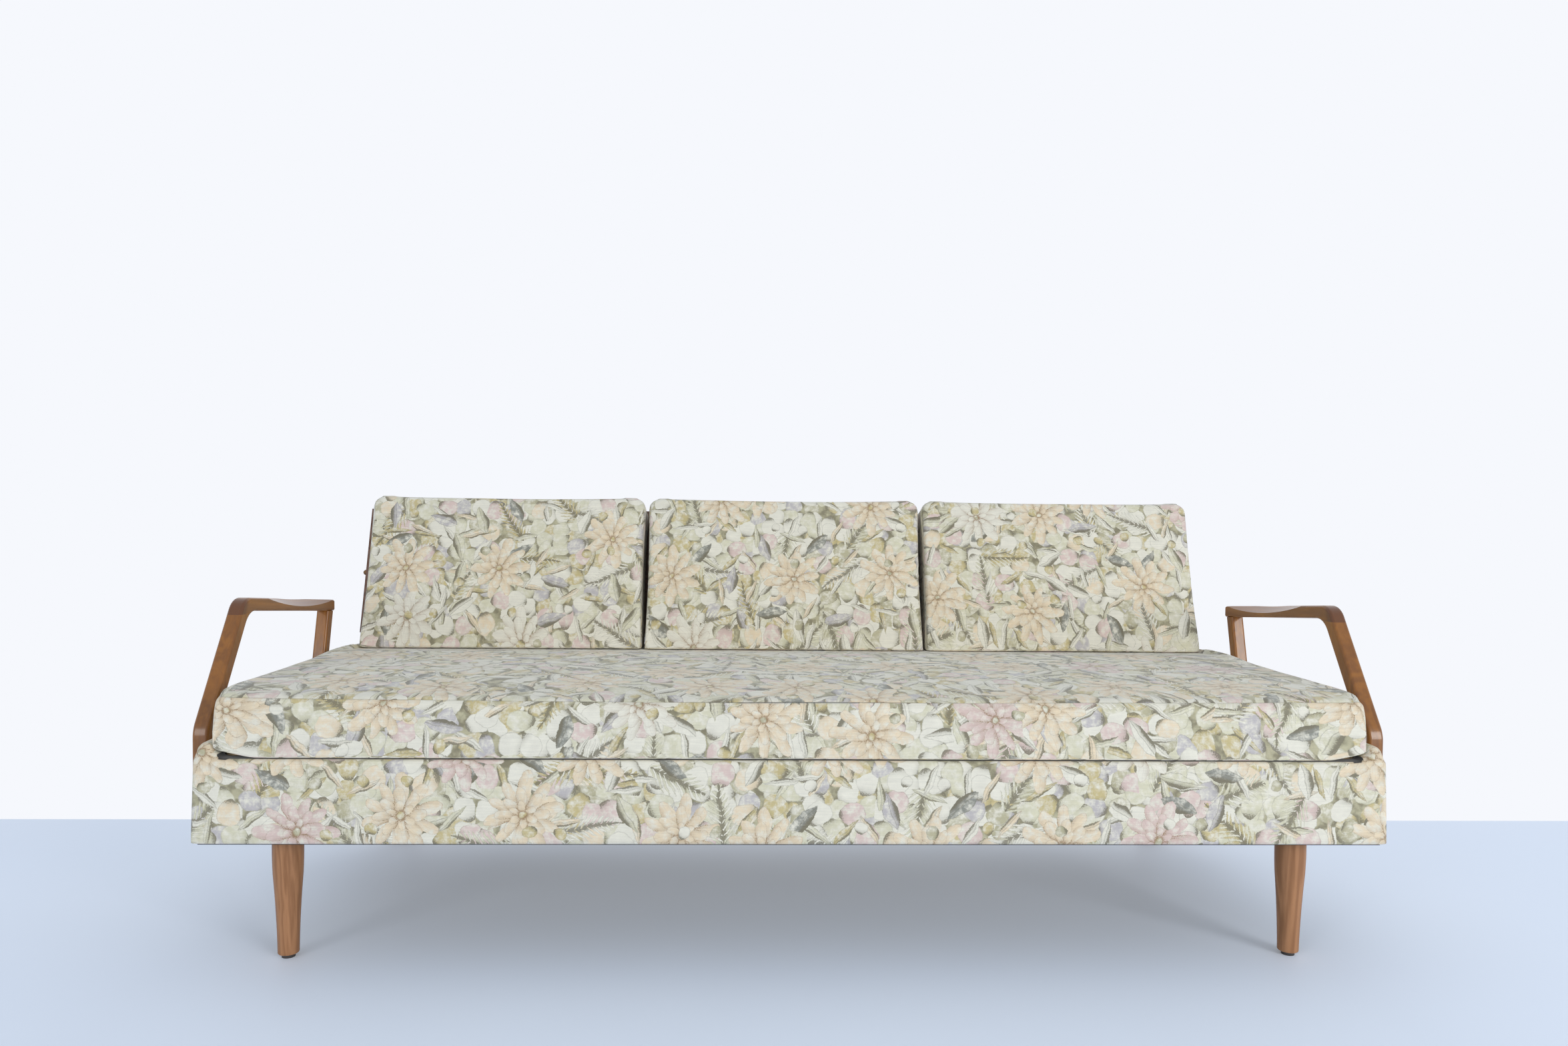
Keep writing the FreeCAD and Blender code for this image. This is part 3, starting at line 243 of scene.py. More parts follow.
class Graph:
    """Adds nodes to one node tree and joins them."""

    def __init__(self, tree):
        self.tree = tree

    def feed(self, socket, value):
        if isinstance(value, Term):
            value = value.socket
        if isinstance(value, bpy.types.NodeSocket):
            self.tree.links.new(value, socket)
        else:
            socket.default_value = value

    def node(self, kind, values=None, **settings):
        made = self.tree.nodes.new(kind)
        for key, value in settings.items():
            setattr(made, key, value)
        for key, value in (values or {}).items():
            self.feed(made.inputs[key], value)
        return made

    def term(self, output, kind, values, **settings):
        return Term(self, self.node(kind, values, **settings).outputs[output])

    def math(self, operation, *values):
        return self.term(0, "ShaderNodeMath", dict(enumerate(values)), operation=operation)

    def vector(self, operation, *values):
        made = self.node("ShaderNodeVectorMath", dict(enumerate(values)), operation=operation)
        return made.outputs["Vector"]

    def length(self, vector):
        return self.term("Value", "ShaderNodeVectorMath", {0: vector}, operation="LENGTH")

    def scaled(self, vector, factor):
        made = self.node("ShaderNodeVectorMath", {"Vector": vector, "Scale": factor}, operation="SCALE")
        return made.outputs["Vector"]

    def split(self, vector):
        return [Term(self, part) for part in self.node("ShaderNodeSeparateXYZ", {"Vector": vector}).outputs]

    def joined(self, x, y, z=0.0):
        return self.node("ShaderNodeCombineXYZ", {"X": x, "Y": y, "Z": z}).outputs["Vector"]

    def rise(self, value, low, high):
        """0 below low, 1 above high, and a soft step between."""
        values = {"Value": value, "From Min": low, "From Max": high}
        return self.term("Result", "ShaderNodeMapRange", values, interpolation_type="SMOOTHSTEP", clamp=True)

    def between(self, value, low, high):
        """Brings a value from 0 and 1 to low and high."""
        return self.term("Result", "ShaderNodeMapRange", {"Value": value, "To Min": low, "To Max": high})

    def mixed(self, factor, first, second, blend="MIX"):
        values = {0: factor, 6: first, 7: second}
        return self.node("ShaderNodeMix", values, data_type="RGBA", blend_type=blend).outputs[2]

    def noise(self, vector, scale, detail=2.0, roughness=0.5, distortion=0.0, output=0):
        values = {"Vector": vector, "Scale": scale, "Detail": detail, "Roughness": roughness,
                  "Distortion": distortion}
        return self.term(output, "ShaderNodeTexNoise", values)

    def attribute(self, name):
        return self.term("Fac", "ShaderNodeAttribute", {}, attribute_name=name)

    def object_place(self):
        return self.node("ShaderNodeTexCoord").outputs["Object"]

    def choice(self, value, colours):
        """One of several colours, each with an equal share of the values from 0 to 1."""
        ramp = self.node("ShaderNodeValToRGB", {"Fac": value})
        ramp.color_ramp.interpolation = "CONSTANT"
        stops = ramp.color_ramp.elements
        while len(stops) < len(colours):
            stops.new(1)
        for index, colour in enumerate(colours):
            stops[index].position = index / len(colours)
            stops[index].color = (*colour, 1)
        return ramp.outputs["Color"]

    def group(self, name, **values):
        """Places the shared node group of that name, which is made at its first use."""
        tree = bpy.data.node_groups.get(name) or GROUP_MAKERS[name]()
        made = self.node("ShaderNodeGroup", node_tree=tree)
        for key, value in values.items():
            self.feed(made.inputs[key], value)
        return {socket.name: Term(self, socket) for socket in made.outputs}


def new_group(name, inputs, outputs):
    """An empty node group with named sockets: its graph, and its inputs and outputs by name."""
    tree = bpy.data.node_groups.new(name, "ShaderNodeTree")
    for direction, sockets in (("INPUT", inputs), ("OUTPUT", outputs)):
        for socket, kind in sockets.items():
            tree.interface.new_socket(socket, in_out=direction, socket_type=kind)
    graph = Graph(tree)
    given = {socket.name: Term(graph, socket) for socket in tree.nodes.new("NodeGroupInput").outputs}
    end = tree.nodes.new("NodeGroupOutput").inputs
    return graph, given, end


def scatter_group():
    """Spreads a motif over the cloth: each has its own place and turn, and two chance numbers."""
    graph, given, end = new_group(
        "Scatter", {"Place": VECTOR, "Spacing": FLOAT, "Jitter": FLOAT, "Shift": VECTOR},
        {"Spot": VECTOR, "Pick": FLOAT, "Tone": FLOAT})
    moved = graph.vector("ADD", given["Place"], given["Shift"])
    cells = graph.scaled(moved, 1 / given["Spacing"])
    values = {"Vector": cells, "Scale": 1.0, "Randomness": given["Jitter"]}
    near = graph.node("ShaderNodeTexVoronoi", values, voronoi_dimensions="2D", feature="F1").outputs
    turn, pick, tone = graph.split(near["Color"])
    from_middle = graph.scaled(graph.vector("SUBTRACT", cells, near["Position"]), given["Spacing"])
    values = {"Vector": from_middle, "Angle": turn * (2 * math.pi)}
    turned = graph.node("ShaderNodeVectorRotate", values, rotation_type="Z_AXIS")
    graph.feed(end["Spot"], turned.outputs["Vector"])
    graph.feed(end["Pick"], pick)
    graph.feed(end["Tone"], tone)
    return graph.tree


LONG_SHAPE = {"Spot": VECTOR, "Length": FLOAT, "Width": FLOAT}
SHAPE_OUTPUTS = {"Fill": FLOAT, "Rim": FLOAT, "Shade": FLOAT}
# Where a motif's edge fades in, and where its outline fades out, in metres inside the edge
EDGE_FADE = (0.0, 0.0007)
OUTLINE_FADE = (0.0006, 0.0019)


def close_shape(graph, end, depth, lines, shade):
    """Fill, outline and shading of a motif from how deep a point lies inside it, in metres."""
    fill = graph.rise(depth, *EDGE_FADE)
    rim = 1 - graph.rise(depth, *OUTLINE_FADE)
    graph.feed(end["Fill"], fill)
    graph.feed(end["Rim"], graph.math("MAXIMUM", rim, lines) * fill)
    graph.feed(end["Shade"], shade)


def leaf_group():
    """A pointed leaf with a midrib and slanting veins, darker on one side of it."""
    graph, given, end = new_group("Leaf", LONG_SHAPE, SHAPE_OUTPUTS)
    x, y, _ = graph.split(given["Spot"])
    along = x / given["Length"]
    across = y / given["Width"]
    outline = (1 - along * along) * (along * 0.32 + 1)
    depth = (outline - abs(across)) * given["Width"]
    rib = 1 - graph.rise(abs(y), 0.0003, 0.0012)
    veins = abs(graph.math("SINE", (x - abs(y) * 0.8) * 420))
    faint = (1 - graph.rise(veins, 0.0, 0.25)) * 0.35
    close_shape(graph, end, depth, graph.math("MAXIMUM", rib, faint), graph.rise(across, -0.1, 0.8))
    return graph.tree


def petal_group():
    """A round petal, darker to one end."""
    graph, given, end = new_group("Petal", LONG_SHAPE, SHAPE_OUTPUTS)
    x, y, _ = graph.split(given["Spot"])
    along = x / given["Length"]
    across = y / ((along * 0.22 + 1) * given["Width"])
    depth = (1 - graph.length(graph.joined(along, across))) * given["Width"]
    close_shape(graph, end, depth, 0.0, graph.rise(along, -0.2, -1.0))
    return graph.tree


def blossom_group():
    """A ring of pointed petals of uneven length, shaded towards their edges and their foot."""
    graph, given, end = new_group(
        "Blossom", {"Spot": VECTOR, "Radius": FLOAT, "Petals": FLOAT, "Turn": FLOAT}, SHAPE_OUTPUTS)
    x, y, _ = graph.split(given["Spot"])
    out = graph.length(given["Spot"]) / given["Radius"]
    angle = graph.math("ARCTAN2", y, x) * (0.5 / math.pi) + 0.5
    steps = angle * given["Petals"] + given["Turn"]
    number = graph.math("FLOORED_MODULO", graph.math("FLOOR", steps), given["Petals"])
    chance = graph.math("FRACT", graph.math("SINE", number * 12.9) * 43.7)
    across = graph.math("FRACT", steps) * 2 - 1
    side = abs(across)
    reach = (1 - graph.math("POWER", side, 2.1) * 0.62) * (chance * 0.2 + 0.8)
    depth = (reach - out) * given["Radius"]
    parting = graph.rise(side, 0.86, 0.97)
    streak = (1 - graph.rise(abs(graph.math("SINE", across * 7)), 0.0, 0.45)) * 0.25
    foot = 1 - graph.rise(out, 0.1, 0.62)
    overlap = graph.rise(across, -0.1, 0.95) * 0.75
    lines = graph.math("MAXIMUM", parting, streak)
    close_shape(graph, end, depth, lines, graph.math("MAXIMUM", foot, overlap))
    return graph.tree


def sprig_group():
    """A stem with narrow leaflets on both sides."""
    graph, given, end = new_group("Sprig", LONG_SHAPE, SHAPE_OUTPUTS)
    leaflets_per_metre, leaflet_depth, half_stem = 95, 0.005, 0.0012
    x, y, _ = graph.split(given["Spot"])
    along = x / given["Length"]
    side = abs(y)
    bow = graph.math("MAXIMUM", 1 - along * along, 0.0)
    reach = graph.math("SQRT", bow) * given["Width"] * (along * -0.35 + 0.8)
    from_spine = abs(graph.math("FRACT", (x - side * 1.1) * leaflets_per_metre) - 0.5) * 2
    share = side / graph.math("MAXIMUM", reach, 0.001)
    leaflet = (share * share * -0.75 + 0.82 - from_spine) * leaflet_depth
    stem = graph.math("MINIMUM", half_stem - side, bow * 0.01)
    depth = graph.math("MAXIMUM", graph.math("MINIMUM", reach - side, leaflet), stem)
    close_shape(graph, end, depth, 0.0, graph.rise(share, 0.55, 0.0))
    return graph.tree


def berry_group():
    """A round berry, dark on one side."""
    graph, given, end = new_group("Berry", {"Spot": VECTOR, "Radius": FLOAT}, SHAPE_OUTPUTS)
    x, _, _ = graph.split(given["Spot"])
    depth = given["Radius"] - graph.length(given["Spot"])
    close_shape(graph, end, depth, 0.0, graph.rise(x / given["Radius"], 0.0, 1.0))
    return graph.tree


def laid_group():
    """Lays one printed motif over the colours below it, with its shading, stipple and outline."""
    inputs = {"Under": COLOUR, "Over": COLOUR, "Ink": COLOUR, **SHAPE_OUTPUTS,
              "Stipple": FLOAT, "Line": FLOAT, "Depth": FLOAT}
    graph, given, end = new_group("Laid over", inputs, {"Colour": COLOUR})
    wash = graph.mixed(given["Shade"] * given["Depth"], given["Over"], given["Ink"])
    dots = graph.rise(given["Shade"] * 0.6 + given["Stipple"], 0.86, 1.0) * 0.8
    dotted = graph.mixed(dots, wash, given["Ink"])
    lined = graph.mixed(given["Rim"] * given["Line"], dotted, given["Ink"])
    graph.feed(end["Colour"], graph.mixed(given["Fill"], given["Under"], lined))
    return graph.tree


def weave_group():
    """Woven ribs with uneven thread: a height, and a tone that brightens and dims the cloth."""
    graph, given, end = new_group(
        "Weave", {"Place": VECTOR, "Thread": FLOAT}, {"Height": FLOAT, "Tone": FLOAT})
    x, y, _ = graph.split(given["Place"])
    step = 2 * math.pi / given["Thread"]
    rows = graph.math("SINE", y * step)
    columns = graph.math("SINE", x * (step * 0.7))
    crossing = rows * (columns * 0.35 + 0.65)
    slub = graph.noise(graph.joined(x * 22, y * 420), 1.0, 3.0, 0.6)
    fuzz = graph.noise(given["Place"], 900.0)
    graph.feed(end["Height"], slub * 0.9 + crossing * 0.3 + fuzz * 0.3)
    graph.feed(end["Tone"], graph.between(fuzz * 0.35 + slub * 0.65, 0.78, 1.22))
    return graph.tree


def wood_group():
    """Wood with its grain along the first axis: colour, roughness and the depth of its pores."""
    graph, given, end = new_group(
        "Wood", {"Place": VECTOR, "Light": COLOUR, "Dark": COLOUR, "Polish": FLOAT},
        {"Colour": COLOUR, "Roughness": FLOAT, "Height": FLOAT})
    x, y, z = graph.split(given["Place"])

    def stretched(along, across):
        return graph.joined(x * along, y * across, z * across)

    figure = graph.noise(stretched(1.6, 16.0), 1.0, 3.0, distortion=1.2)
    bands = graph.math("SINE", figure * 34) * 0.5 + 0.5
    streaks = graph.noise(stretched(5.0, 150.0), 1.0, 5.0, 0.65)
    pores = graph.rise(graph.noise(stretched(40.0, 1300.0), 1.0), 0.62, 0.75)
    cloudy = graph.noise(given["Place"], 4.0)
    grain = bands * 0.3 + streaks * 0.65 + cloudy * 0.35
    tone = graph.mixed(graph.rise(grain, 0.25, 1.0), given["Dark"], given["Light"])
    graph.feed(end["Colour"], graph.mixed(pores * 0.35, tone, given["Dark"]))
    graph.feed(end["Roughness"], streaks * 0.16 + given["Polish"])
    graph.feed(end["Height"], streaks * 0.4 - pores)
    return graph.tree


def worn_group():
    """Fine scuffs and soft stains that change a surface's tone and gloss."""
    graph, given, end = new_group(
        "Worn", {"Place": VECTOR, "Colour": COLOUR, "Stain": COLOUR, "Gloss": FLOAT},
        {"Colour": COLOUR, "Roughness": FLOAT, "Height": FLOAT})
    stains = graph.noise(given["Place"], 60.0, 4.0, 0.6)
    scuffs = graph.noise(given["Place"], 700.0, 3.0, 0.6)
    graph.feed(end["Colour"], graph.mixed(graph.rise(stains, 0.4, 0.75), given["Colour"], given["Stain"]))
    graph.feed(end["Roughness"], stains * 0.25 + scuffs * 0.15 + given["Gloss"])
    graph.feed(end["Height"], scuffs)
    return graph.tree


GROUP_MAKERS = {
    "Scatter": scatter_group, "Leaf": leaf_group, "Petal": petal_group, "Blossom": blossom_group,
    "Sprig": sprig_group, "Berry": berry_group, "Laid over": laid_group, "Weave": weave_group,
    "Wood": wood_group, "Worn": worn_group,
}


def bare_material(name):
    """A material without nodes, and its graph."""
    material = bpy.data.materials.new(name)
    material.use_nodes = True
    material.node_tree.nodes.clear()
    return material, Graph(material.node_tree)


def new_material(name):
    """A new material, its graph and its surface shader."""
    material, graph = bare_material(name)
    surface = graph.node("ShaderNodeBsdfPrincipled")
    output = graph.node("ShaderNodeOutputMaterial")
    graph.feed(output.inputs["Surface"], surface.outputs["BSDF"])
    return material, graph, surface


def finish_surface(graph, surface, looks, height, strength, distance):
    """Sets the shader's inputs and gives it fine relief: how strong, and how many metres deep."""
    for name, value in looks.items():
        graph.feed(surface.inputs[name], value)
    made = graph.node("ShaderNodeBump", {"Strength": strength, "Distance": distance, "Height": height})
    graph.feed(surface.inputs["Normal"], made.outputs["Normal"])


def printed_cloth():
    """Printed upholstery cloth: leaves, petals, sprigs, blossoms and berries on a ribbed ground."""
    found = bpy.data.materials.get("printed_cloth")
    if found:
        return found
    look = bpy.context.scene.daybed_cloth
    material, graph, surface = new_material("printed_cloth")
    place = graph.node("ShaderNodeUVMap", uv_map="cloth").outputs["UV"]

    def unsteady(scale, detail, reach):
        """A small shift that changes over the cloth, as a hand's does."""
        chance = graph.noise(place, scale, detail, output="Color")
        return graph.scaled(graph.vector("SUBTRACT", chance, (0.5, 0.5, 0.5)), reach)

    wandering = graph.vector("ADD", place, unsteady(30.0, 2.0, 0.013))
    hand_drawn = graph.vector("ADD", wandering, unsteady(420.0, 1.0, 0.0026))
    drawn_place = graph.scaled(hand_drawn, 1 / look.motif_scale)
    stipple = graph.noise(place, 560.0, 3.0, 0.7)
    broken = graph.between(graph.noise(place, 90.0), 0.25, 1.0)
    brushed = graph.rise(graph.noise(place, 75.0, 4.0, 0.65), 0.3, 0.62)

    def strewn(spacing, shift, jitter):
        return graph.group("Scatter", Place=drawn_place, Spacing=spacing, Jitter=jitter, Shift=(*shift, 0.0))

    def lay(under, spread, motif, colours, share, line, depth, ink=look.ink, **sizes):
        """Prints a share of the spread motifs over what lies under, with outlines and shading that strong."""
        shape = graph.group(motif, Spot=spread["Spot"], **sizes)
        full_tone = graph.choice(spread["Tone"], colours)
        over = graph.mixed(shape["Shade"] * 0.5 + brushed, (*look.cream, 1), full_tone)
        fill = shape["Fill"] * graph.math("LESS_THAN", spread["Pick"], share)
        return graph.group(
            "Laid over", Under=under, Over=over, Ink=(*ink, 1), Fill=fill, Rim=shape["Rim"],
            Shade=shape["Shade"], Stipple=stipple, Line=broken * line, Depth=depth)["Colour"]

    # Close-set round petals over a dark ground
    murky = graph.rise(graph.noise(place, 55.0, 3.0), 0.35, 0.65)
    colour = graph.mixed(murky, (*look.ground, 1), (*look.moss, 1))
    pale = [look.sage, look.cream, look.ochre, look.sage, look.lavender, look.cream, look.moss]
    for shift in ((0.31, 0.17), (2.13, 1.49)):
        colour = lay(colour, strewn(0.037, shift, 0.6), "Petal", pale, share=0.92, line=0.5, depth=0.4,
                     Length=0.0215, Width=0.0175)
    blush = [look.cream, look.pink, look.sage, look.pink, look.peach, look.sage]
    colour = lay(colour, strewn(0.05, (1.7, 0.4), 0.7), "Petal", blush, share=0.7, line=0.45, depth=0.35,
                 Length=0.023, Width=0.0185)

    # Sprigs, narrow blades and leaves
    ferny = [look.cream, look.sage, look.sage, look.ochre]
    colour = lay(colour, strewn(0.118, (0.9, 2.3), 0.8), "Sprig", ferny, share=0.8, line=0.55, depth=0.3,
                 Length=0.056, Width=0.03)
    blades = {(4.1, 2.2): [look.sage, look.cream, look.ochre], (1.2, 5.3): [look.cream, look.peach]}
    for shift, colours in blades.items():
        colour = lay(colour, strewn(0.062, shift, 0.9), "Leaf", colours, share=0.6, line=0.6, depth=0.35,
                     Length=0.032, Width=0.0062)
    leafy = [look.sage, look.slate, look.cream, look.lavender, look.cream]
    colour = lay(colour, strewn(0.074, (2.9, 1.1), 0.8), "Leaf", leafy, share=0.62, line=0.7, depth=0.7,
                 Length=0.034, Width=0.0125)

    # Blossoms of three rings with a heart, and berries
    flowers = strewn(0.19, (3.3, 0.6), 0.65)
    warm = [look.peach, look.peach, look.cream, look.peach, look.pink]
    for radius, petals, turn in ((0.072, 10.0, 0.0), (0.05, 8.0, 0.5), (0.027, 6.0, 0.2)):
        colour = lay(colour, flowers, "Blossom", warm, share=0.8, line=0.65, depth=0.42, ink=look.bark,
                     Radius=radius, Petals=petals, Turn=turn)
    colour = lay(colour, flowers, "Berry", [look.ochre, look.moss], share=0.8, line=0.6, depth=0.5,
                 ink=look.bark, Radius=0.006)
    dry = [look.ochre, look.moss, look.ochre, look.cream]
    colour = lay(colour, strewn(0.07, (0.2, 3.7), 0.9), "Berry", dry, share=0.36, line=0.6, depth=0.5,
                 Radius=0.0105)

    # Thread, painted shade along the seams, and painted shade on the base's top under the mattress
    washes = graph.between(graph.noise(place, 46.0, 6.0, 0.68), 0.85, 1.15)
    weave = graph.group("Weave", Place=place, Thread=look.thread)
    tone = washes * weave["Tone"]
    toned = graph.mixed(1.0, colour, graph.joined(tone, tone, tone), "MULTIPLY")
    # Painted shade: the cloth is darkened with the ink colour along each seam, where its crease lies in shade
    painted_seam_shade = 1 - graph.rise(abs(graph.attribute("seam")), 0.0003, 0.0016)
    seam_shaded = graph.mixed(painted_seam_shade * 0.22, toned, (*look.ink, 1), "MULTIPLY")
    # Painted shade: the dark colour on the base's top just inside the front lip, under the mattress
    lined = graph.mixed(graph.rise(graph.attribute("lining"), 0.3, 0.7), seam_shaded, (*look.lining, 1))
    looks = {"Base Color": lined, "Roughness": graph.between(weave["Height"], 0.78, 0.92),
             "Sheen Weight": 0.28, "Sheen Roughness": 0.6, "Specular IOR Level": 0.25}
    finish_surface(graph, surface, looks, weave["Height"], 0.3, 0.0004)
    return material


def wood_material(name, axis, light, dark, polish, lacquer, end_colour=None):
    """Lacquered wood with its grain along x, y or z, and end grain at the front if its colour is given."""
    material, graph, surface = new_material(f"{name}_{axis}")
    place = graph.object_place()
    turns = {"x": (0, 0, 0), "y": (0, 0, -math.pi / 2), "z": (0, math.pi / 2, 0)}
    mapped = graph.node("ShaderNodeMapping", {"Vector": place, "Rotation": turns[axis]}).outputs["Vector"]
    wood = graph.group("Wood", Place=mapped, Light=(*light, 1), Dark=(*dark, 1), Polish=polish)
    colour = wood["Colour"]
    if end_colour:
        _, y, z = graph.split(place)
        behind_front = z * -ARM_RAKE + (y - ARM_FRONT)
        colour = graph.mixed(graph.rise(behind_front, 0.014, 0.001), colour, (*end_colour, 1))
    looks = {"Base Color": colour, "Roughness": wood["Roughness"], "Specular IOR Level": 0.3,
             "Coat Weight": lacquer, "Coat Roughness": 0.16}
    finish_surface(graph, surface, looks, wood["Height"], 0.15, 0.0003)
    return material


def worn_material(name, colour, stain, gloss, metallic):
    """Metal or plastic with soft stains and fine scuffs."""
    material, graph, surface = new_material(name)
    place = graph.object_place()
    worn = graph.group("Worn", Place=place, Colour=(*colour, 1), Stain=(*stain, 1), Gloss=gloss)
    looks = {"Base Color": worn["Colour"], "Roughness": worn["Roughness"], "Metallic": metallic}
    finish_surface(graph, surface, looks, worn["Height"], 0.1, 0.0002)
    return material


def felted_cloth():
    """Dark bonded cloth under the base, with its dimpled bonding points."""
    material, graph, surface = new_material("dust_cloth")
    place = graph.object_place()
    cells = {"Vector": place, "Scale": 420.0, "Randomness": 0.15}
    points = graph.term("Distance", "ShaderNodeTexVoronoi", cells, voronoi_dimensions="2D")
    dimple = graph.rise(points, 0.15, 0.4)
    fibre = graph.noise(place, 240.0, 5.0, 0.7)
    shade = fibre * 0.6 + graph.noise(place, 9.0) * 0.4
    colour = graph.mixed(shade, (*display(34, 34, 36), 1), (*display(64, 64, 66), 1))
    looks = {"Base Color": colour, "Roughness": graph.between(fibre, 0.8, 0.95)}
    finish_surface(graph, surface, looks, dimple + fibre, 0.3, 0.0004)
    return material


def link_object(name, mesh):
    made = bpy.data.objects.new(name, mesh)
    bpy.context.scene.collection.objects.link(made)
    return made


def read_vectors(data, name):
    """One vector of each item, as rows."""
    rows = np.zeros(len(data) * 3)
    data.foreach_get(name, rows)
    return rows.reshape(-1, 3)


def coordinates(mesh):
    return read_vectors(mesh.vertices, "co")


def move_points(mesh, points):
    mesh.vertices.foreach_set("co", points.ravel())
    mesh.update()


def bmesh_of(mesh):
    shape = bmesh.new()
    shape.from_mesh(mesh)
    return shape


def put_into(mesh, shape):
    shape.to_mesh(mesh)
    shape.free()
    return mesh


def new_piece(name, shape):
    return link_object(name, put_into(bpy.data.meshes.new(name), shape))


def finished_mesh(piece):
    """Puts the result of a piece's modifiers into its mesh and takes the modifiers off."""
    graph = bpy.context.evaluated_depsgraph_get()
    shown = piece.evaluated_get(graph)
    mesh = bpy.data.meshes.new_from_object(shown, preserve_all_data_layers=True, depsgraph=graph)
    old = piece.data
    piece.modifiers.clear()
    piece.data = mesh
    bpy.data.meshes.remove(old)
    mesh.name = piece.name


def remesh(piece, spacing):
    """An even mesh over the piece's outer skin."""
    voxels = piece.modifiers.new("Even mesh", "REMESH")
    voxels.mode = "VOXEL"
    voxels.voxel_size = spacing
    finished_mesh(piece)


def relax(piece, times):
    shape = bmesh_of(piece.data)
    every_way = {"use_axis_x": True, "use_axis_y": True, "use_axis_z": True}
    for _ in range(times):
        bmesh.ops.smooth_vert(shape, verts=shape.verts, factor=0.5, **every_way)
    put_into(piece.data, shape)


def padded_copy(node, name, spacing):
    """A soft solid's own form as a new piece with an even mesh, and its resting points kept in the mesh."""
    shape = bmesh_of(frame["nodes"][node].data)
    bmesh.ops.remove_doubles(shape, verts=shape.verts, dist=SAME_PLACE)
    piece = new_piece(name, shape)
    remesh(piece, spacing)
    relax(piece, 3)
    rest = piece.data.attributes.new("rest", "FLOAT_VECTOR", "POINT")
    rest.data.foreach_set("vector", coordinates(piece.data).ravel())
    return piece


def swell(piece, slack, most, held):
    """Draws the panels in, then lets inner pressure swell the cloth between its seams.

    held is each point's hold on the firm core, 1 along the seams, and no point moves further than most."""
    outward = read_vectors(piece.data.vertex_normals, "vector")
    start = coordinates(piece.data) - outward * (slack * (1 - held))[:, None]
    move_points(piece.data, start)
    seams = piece.vertex_groups.new(name="seams")
    for index, weight in enumerate(held):
        seams.add([index], float(weight), "REPLACE")
    cloth = piece.modifiers.new("Cloth", "CLOTH")
    cloth.settings.quality = CLOTH_QUALITY
    cloth.settings.vertex_group_mass = "seams"
    cloth.settings.use_pressure = True
    cloth.settings.uniform_pressure_force = CLOTH_PRESSURE
    cloth.settings.effector_weights.gravity = 0
    cloth.point_cache.frame_start = 1
    cloth.point_cache.frame_end = CLOTH_FRAMES
    for step in range(1, CLOTH_FRAMES + 1):
        bpy.context.scene.frame_set(step)
    graph = bpy.context.evaluated_depsgraph_get()
    swollen = coordinates(piece.evaluated_get(graph).data)
    piece.modifiers.remove(cloth)
    piece.vertex_groups.clear()
    bpy.context.scene.frame_set(1)
    moved = swollen - start
    reach = np.linalg.norm(moved, axis=1, keepdims=True)
    move_points(piece.data, start + moved / (1 + reach / most))


def refill(piece, axes):
    """Stretches a swollen piece until it is as long, along each axis, as its resting form."""
    rest = read_vectors(piece.data.attributes["rest"].data, "vector")
    points = coordinates(piece.data)
    for axis in axes:
        direction = np.array(axis)
        wanted = rest @ direction
        found = points @ direction
        share = (found - found.min()) / (found.max() - found.min())
        placed = wanted.min() + share * (wanted.max() - wanted.min())
        points += np.outer(placed - found, direction)
    move_points(piece.data, points)


def subdivide(piece):
    finer = piece.modifiers.new("Finer", "SUBSURF")
    finer.levels = 1
    finer.render_levels = 1
    finished_mesh(piece)


def smooth_step(values):
    eased = np.clip(values, 0, 1)
    return eased * eased * (3 - 2 * eased)


def sew(piece, seam_at, cloth_at, depth):
    """Splits the faces along the seam, draws the cloth in there and lays the print on each panel.

    seam_at gives a resting point's distance from the seam, negative inside the main panels, and cloth_at
    gives the place on the cloth of a resting point on a face with that middle and direction."""
    shape = bmesh_of(piece.data)
    rest = shape.verts.layers.float_vector["rest"]
    final = shape.verts.layers.float_vector.new("final")
    for vert in shape.verts:
        vert[final] = vert.co
        vert.co = (vert[rest].x, vert[rest].y + vert[rest].z, seam_at(vert[rest]))
    everything = shape.verts[:] + shape.edges[:] + shape.faces[:]
    bmesh.ops.bisect_plane(shape, geom=everything, dist=SAME_PLACE, plane_co=(0, 0, 0), plane_no=(0, 0, 1))
    seam = shape.verts.layers.float.new("seam")
    for vert in shape.verts:
        vert.co = vert[rest]
        vert[seam] = seam_at(vert[rest])
    shape.normal_update()
    cloth = shape.loops.layers.uv.new("cloth")
    for face in shape.faces:
        middle = face.calc_center_median()
        inside = sum(vert[seam] for vert in face.verts) < 0
        for loop in face.loops:
            loop[cloth].uv = cloth_at(loop.vert[rest], middle, face.normal, inside)
    for vert in shape.verts:
        vert.co = vert[final]
    shape.normal_update()
    for vert in shape.verts:
        vert.co -= vert.normal * depth * math.exp(-(vert[seam] / SEAM_REACH) ** 2)
    shape.verts.layers.float_vector.remove(final)
    shape.verts.layers.float_vector.remove(shape.verts.layers.float_vector["rest"])
    put_into(piece.data, shape)


def dress(piece, body, slot_name, material, *nodes):
    """Gives a new piece its material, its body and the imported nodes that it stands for."""
    piece.data.materials.clear()
    piece.data.materials.append(material)
    piece.data.shade_smooth()
    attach(piece, body)
    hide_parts(*nodes)


def fade(distances, reach):
    """1 where the distance is 0, falling to nothing over about twice the reach."""
    return np.exp(-(distances / reach) ** 2)


def tightened(distances, share, zone):
    """Brings points near an edge closer to it, so that the edge's rounding shrinks to about that share."""
    return distances * (1 - (1 - share) * fade(distances, zone))


def past(values, edge):
    """How far values lie past an edge, and 0 before it."""
    return np.clip(values - edge, 0, None)


def roll_clear(heights):
    """How far out the mattress may reach at each height, just clear of the rolls."""
    clearance = 0.0015
    above = np.clip(heights - ROLL_MIDDLE.z, 0, ROLL_RADIUS)
    inner = ROLL_MIDDLE.x - np.sqrt(ROLL_RADIUS ** 2 - above ** 2)
    return np.minimum(inner - clearance, MATTRESS_HIGH.x)


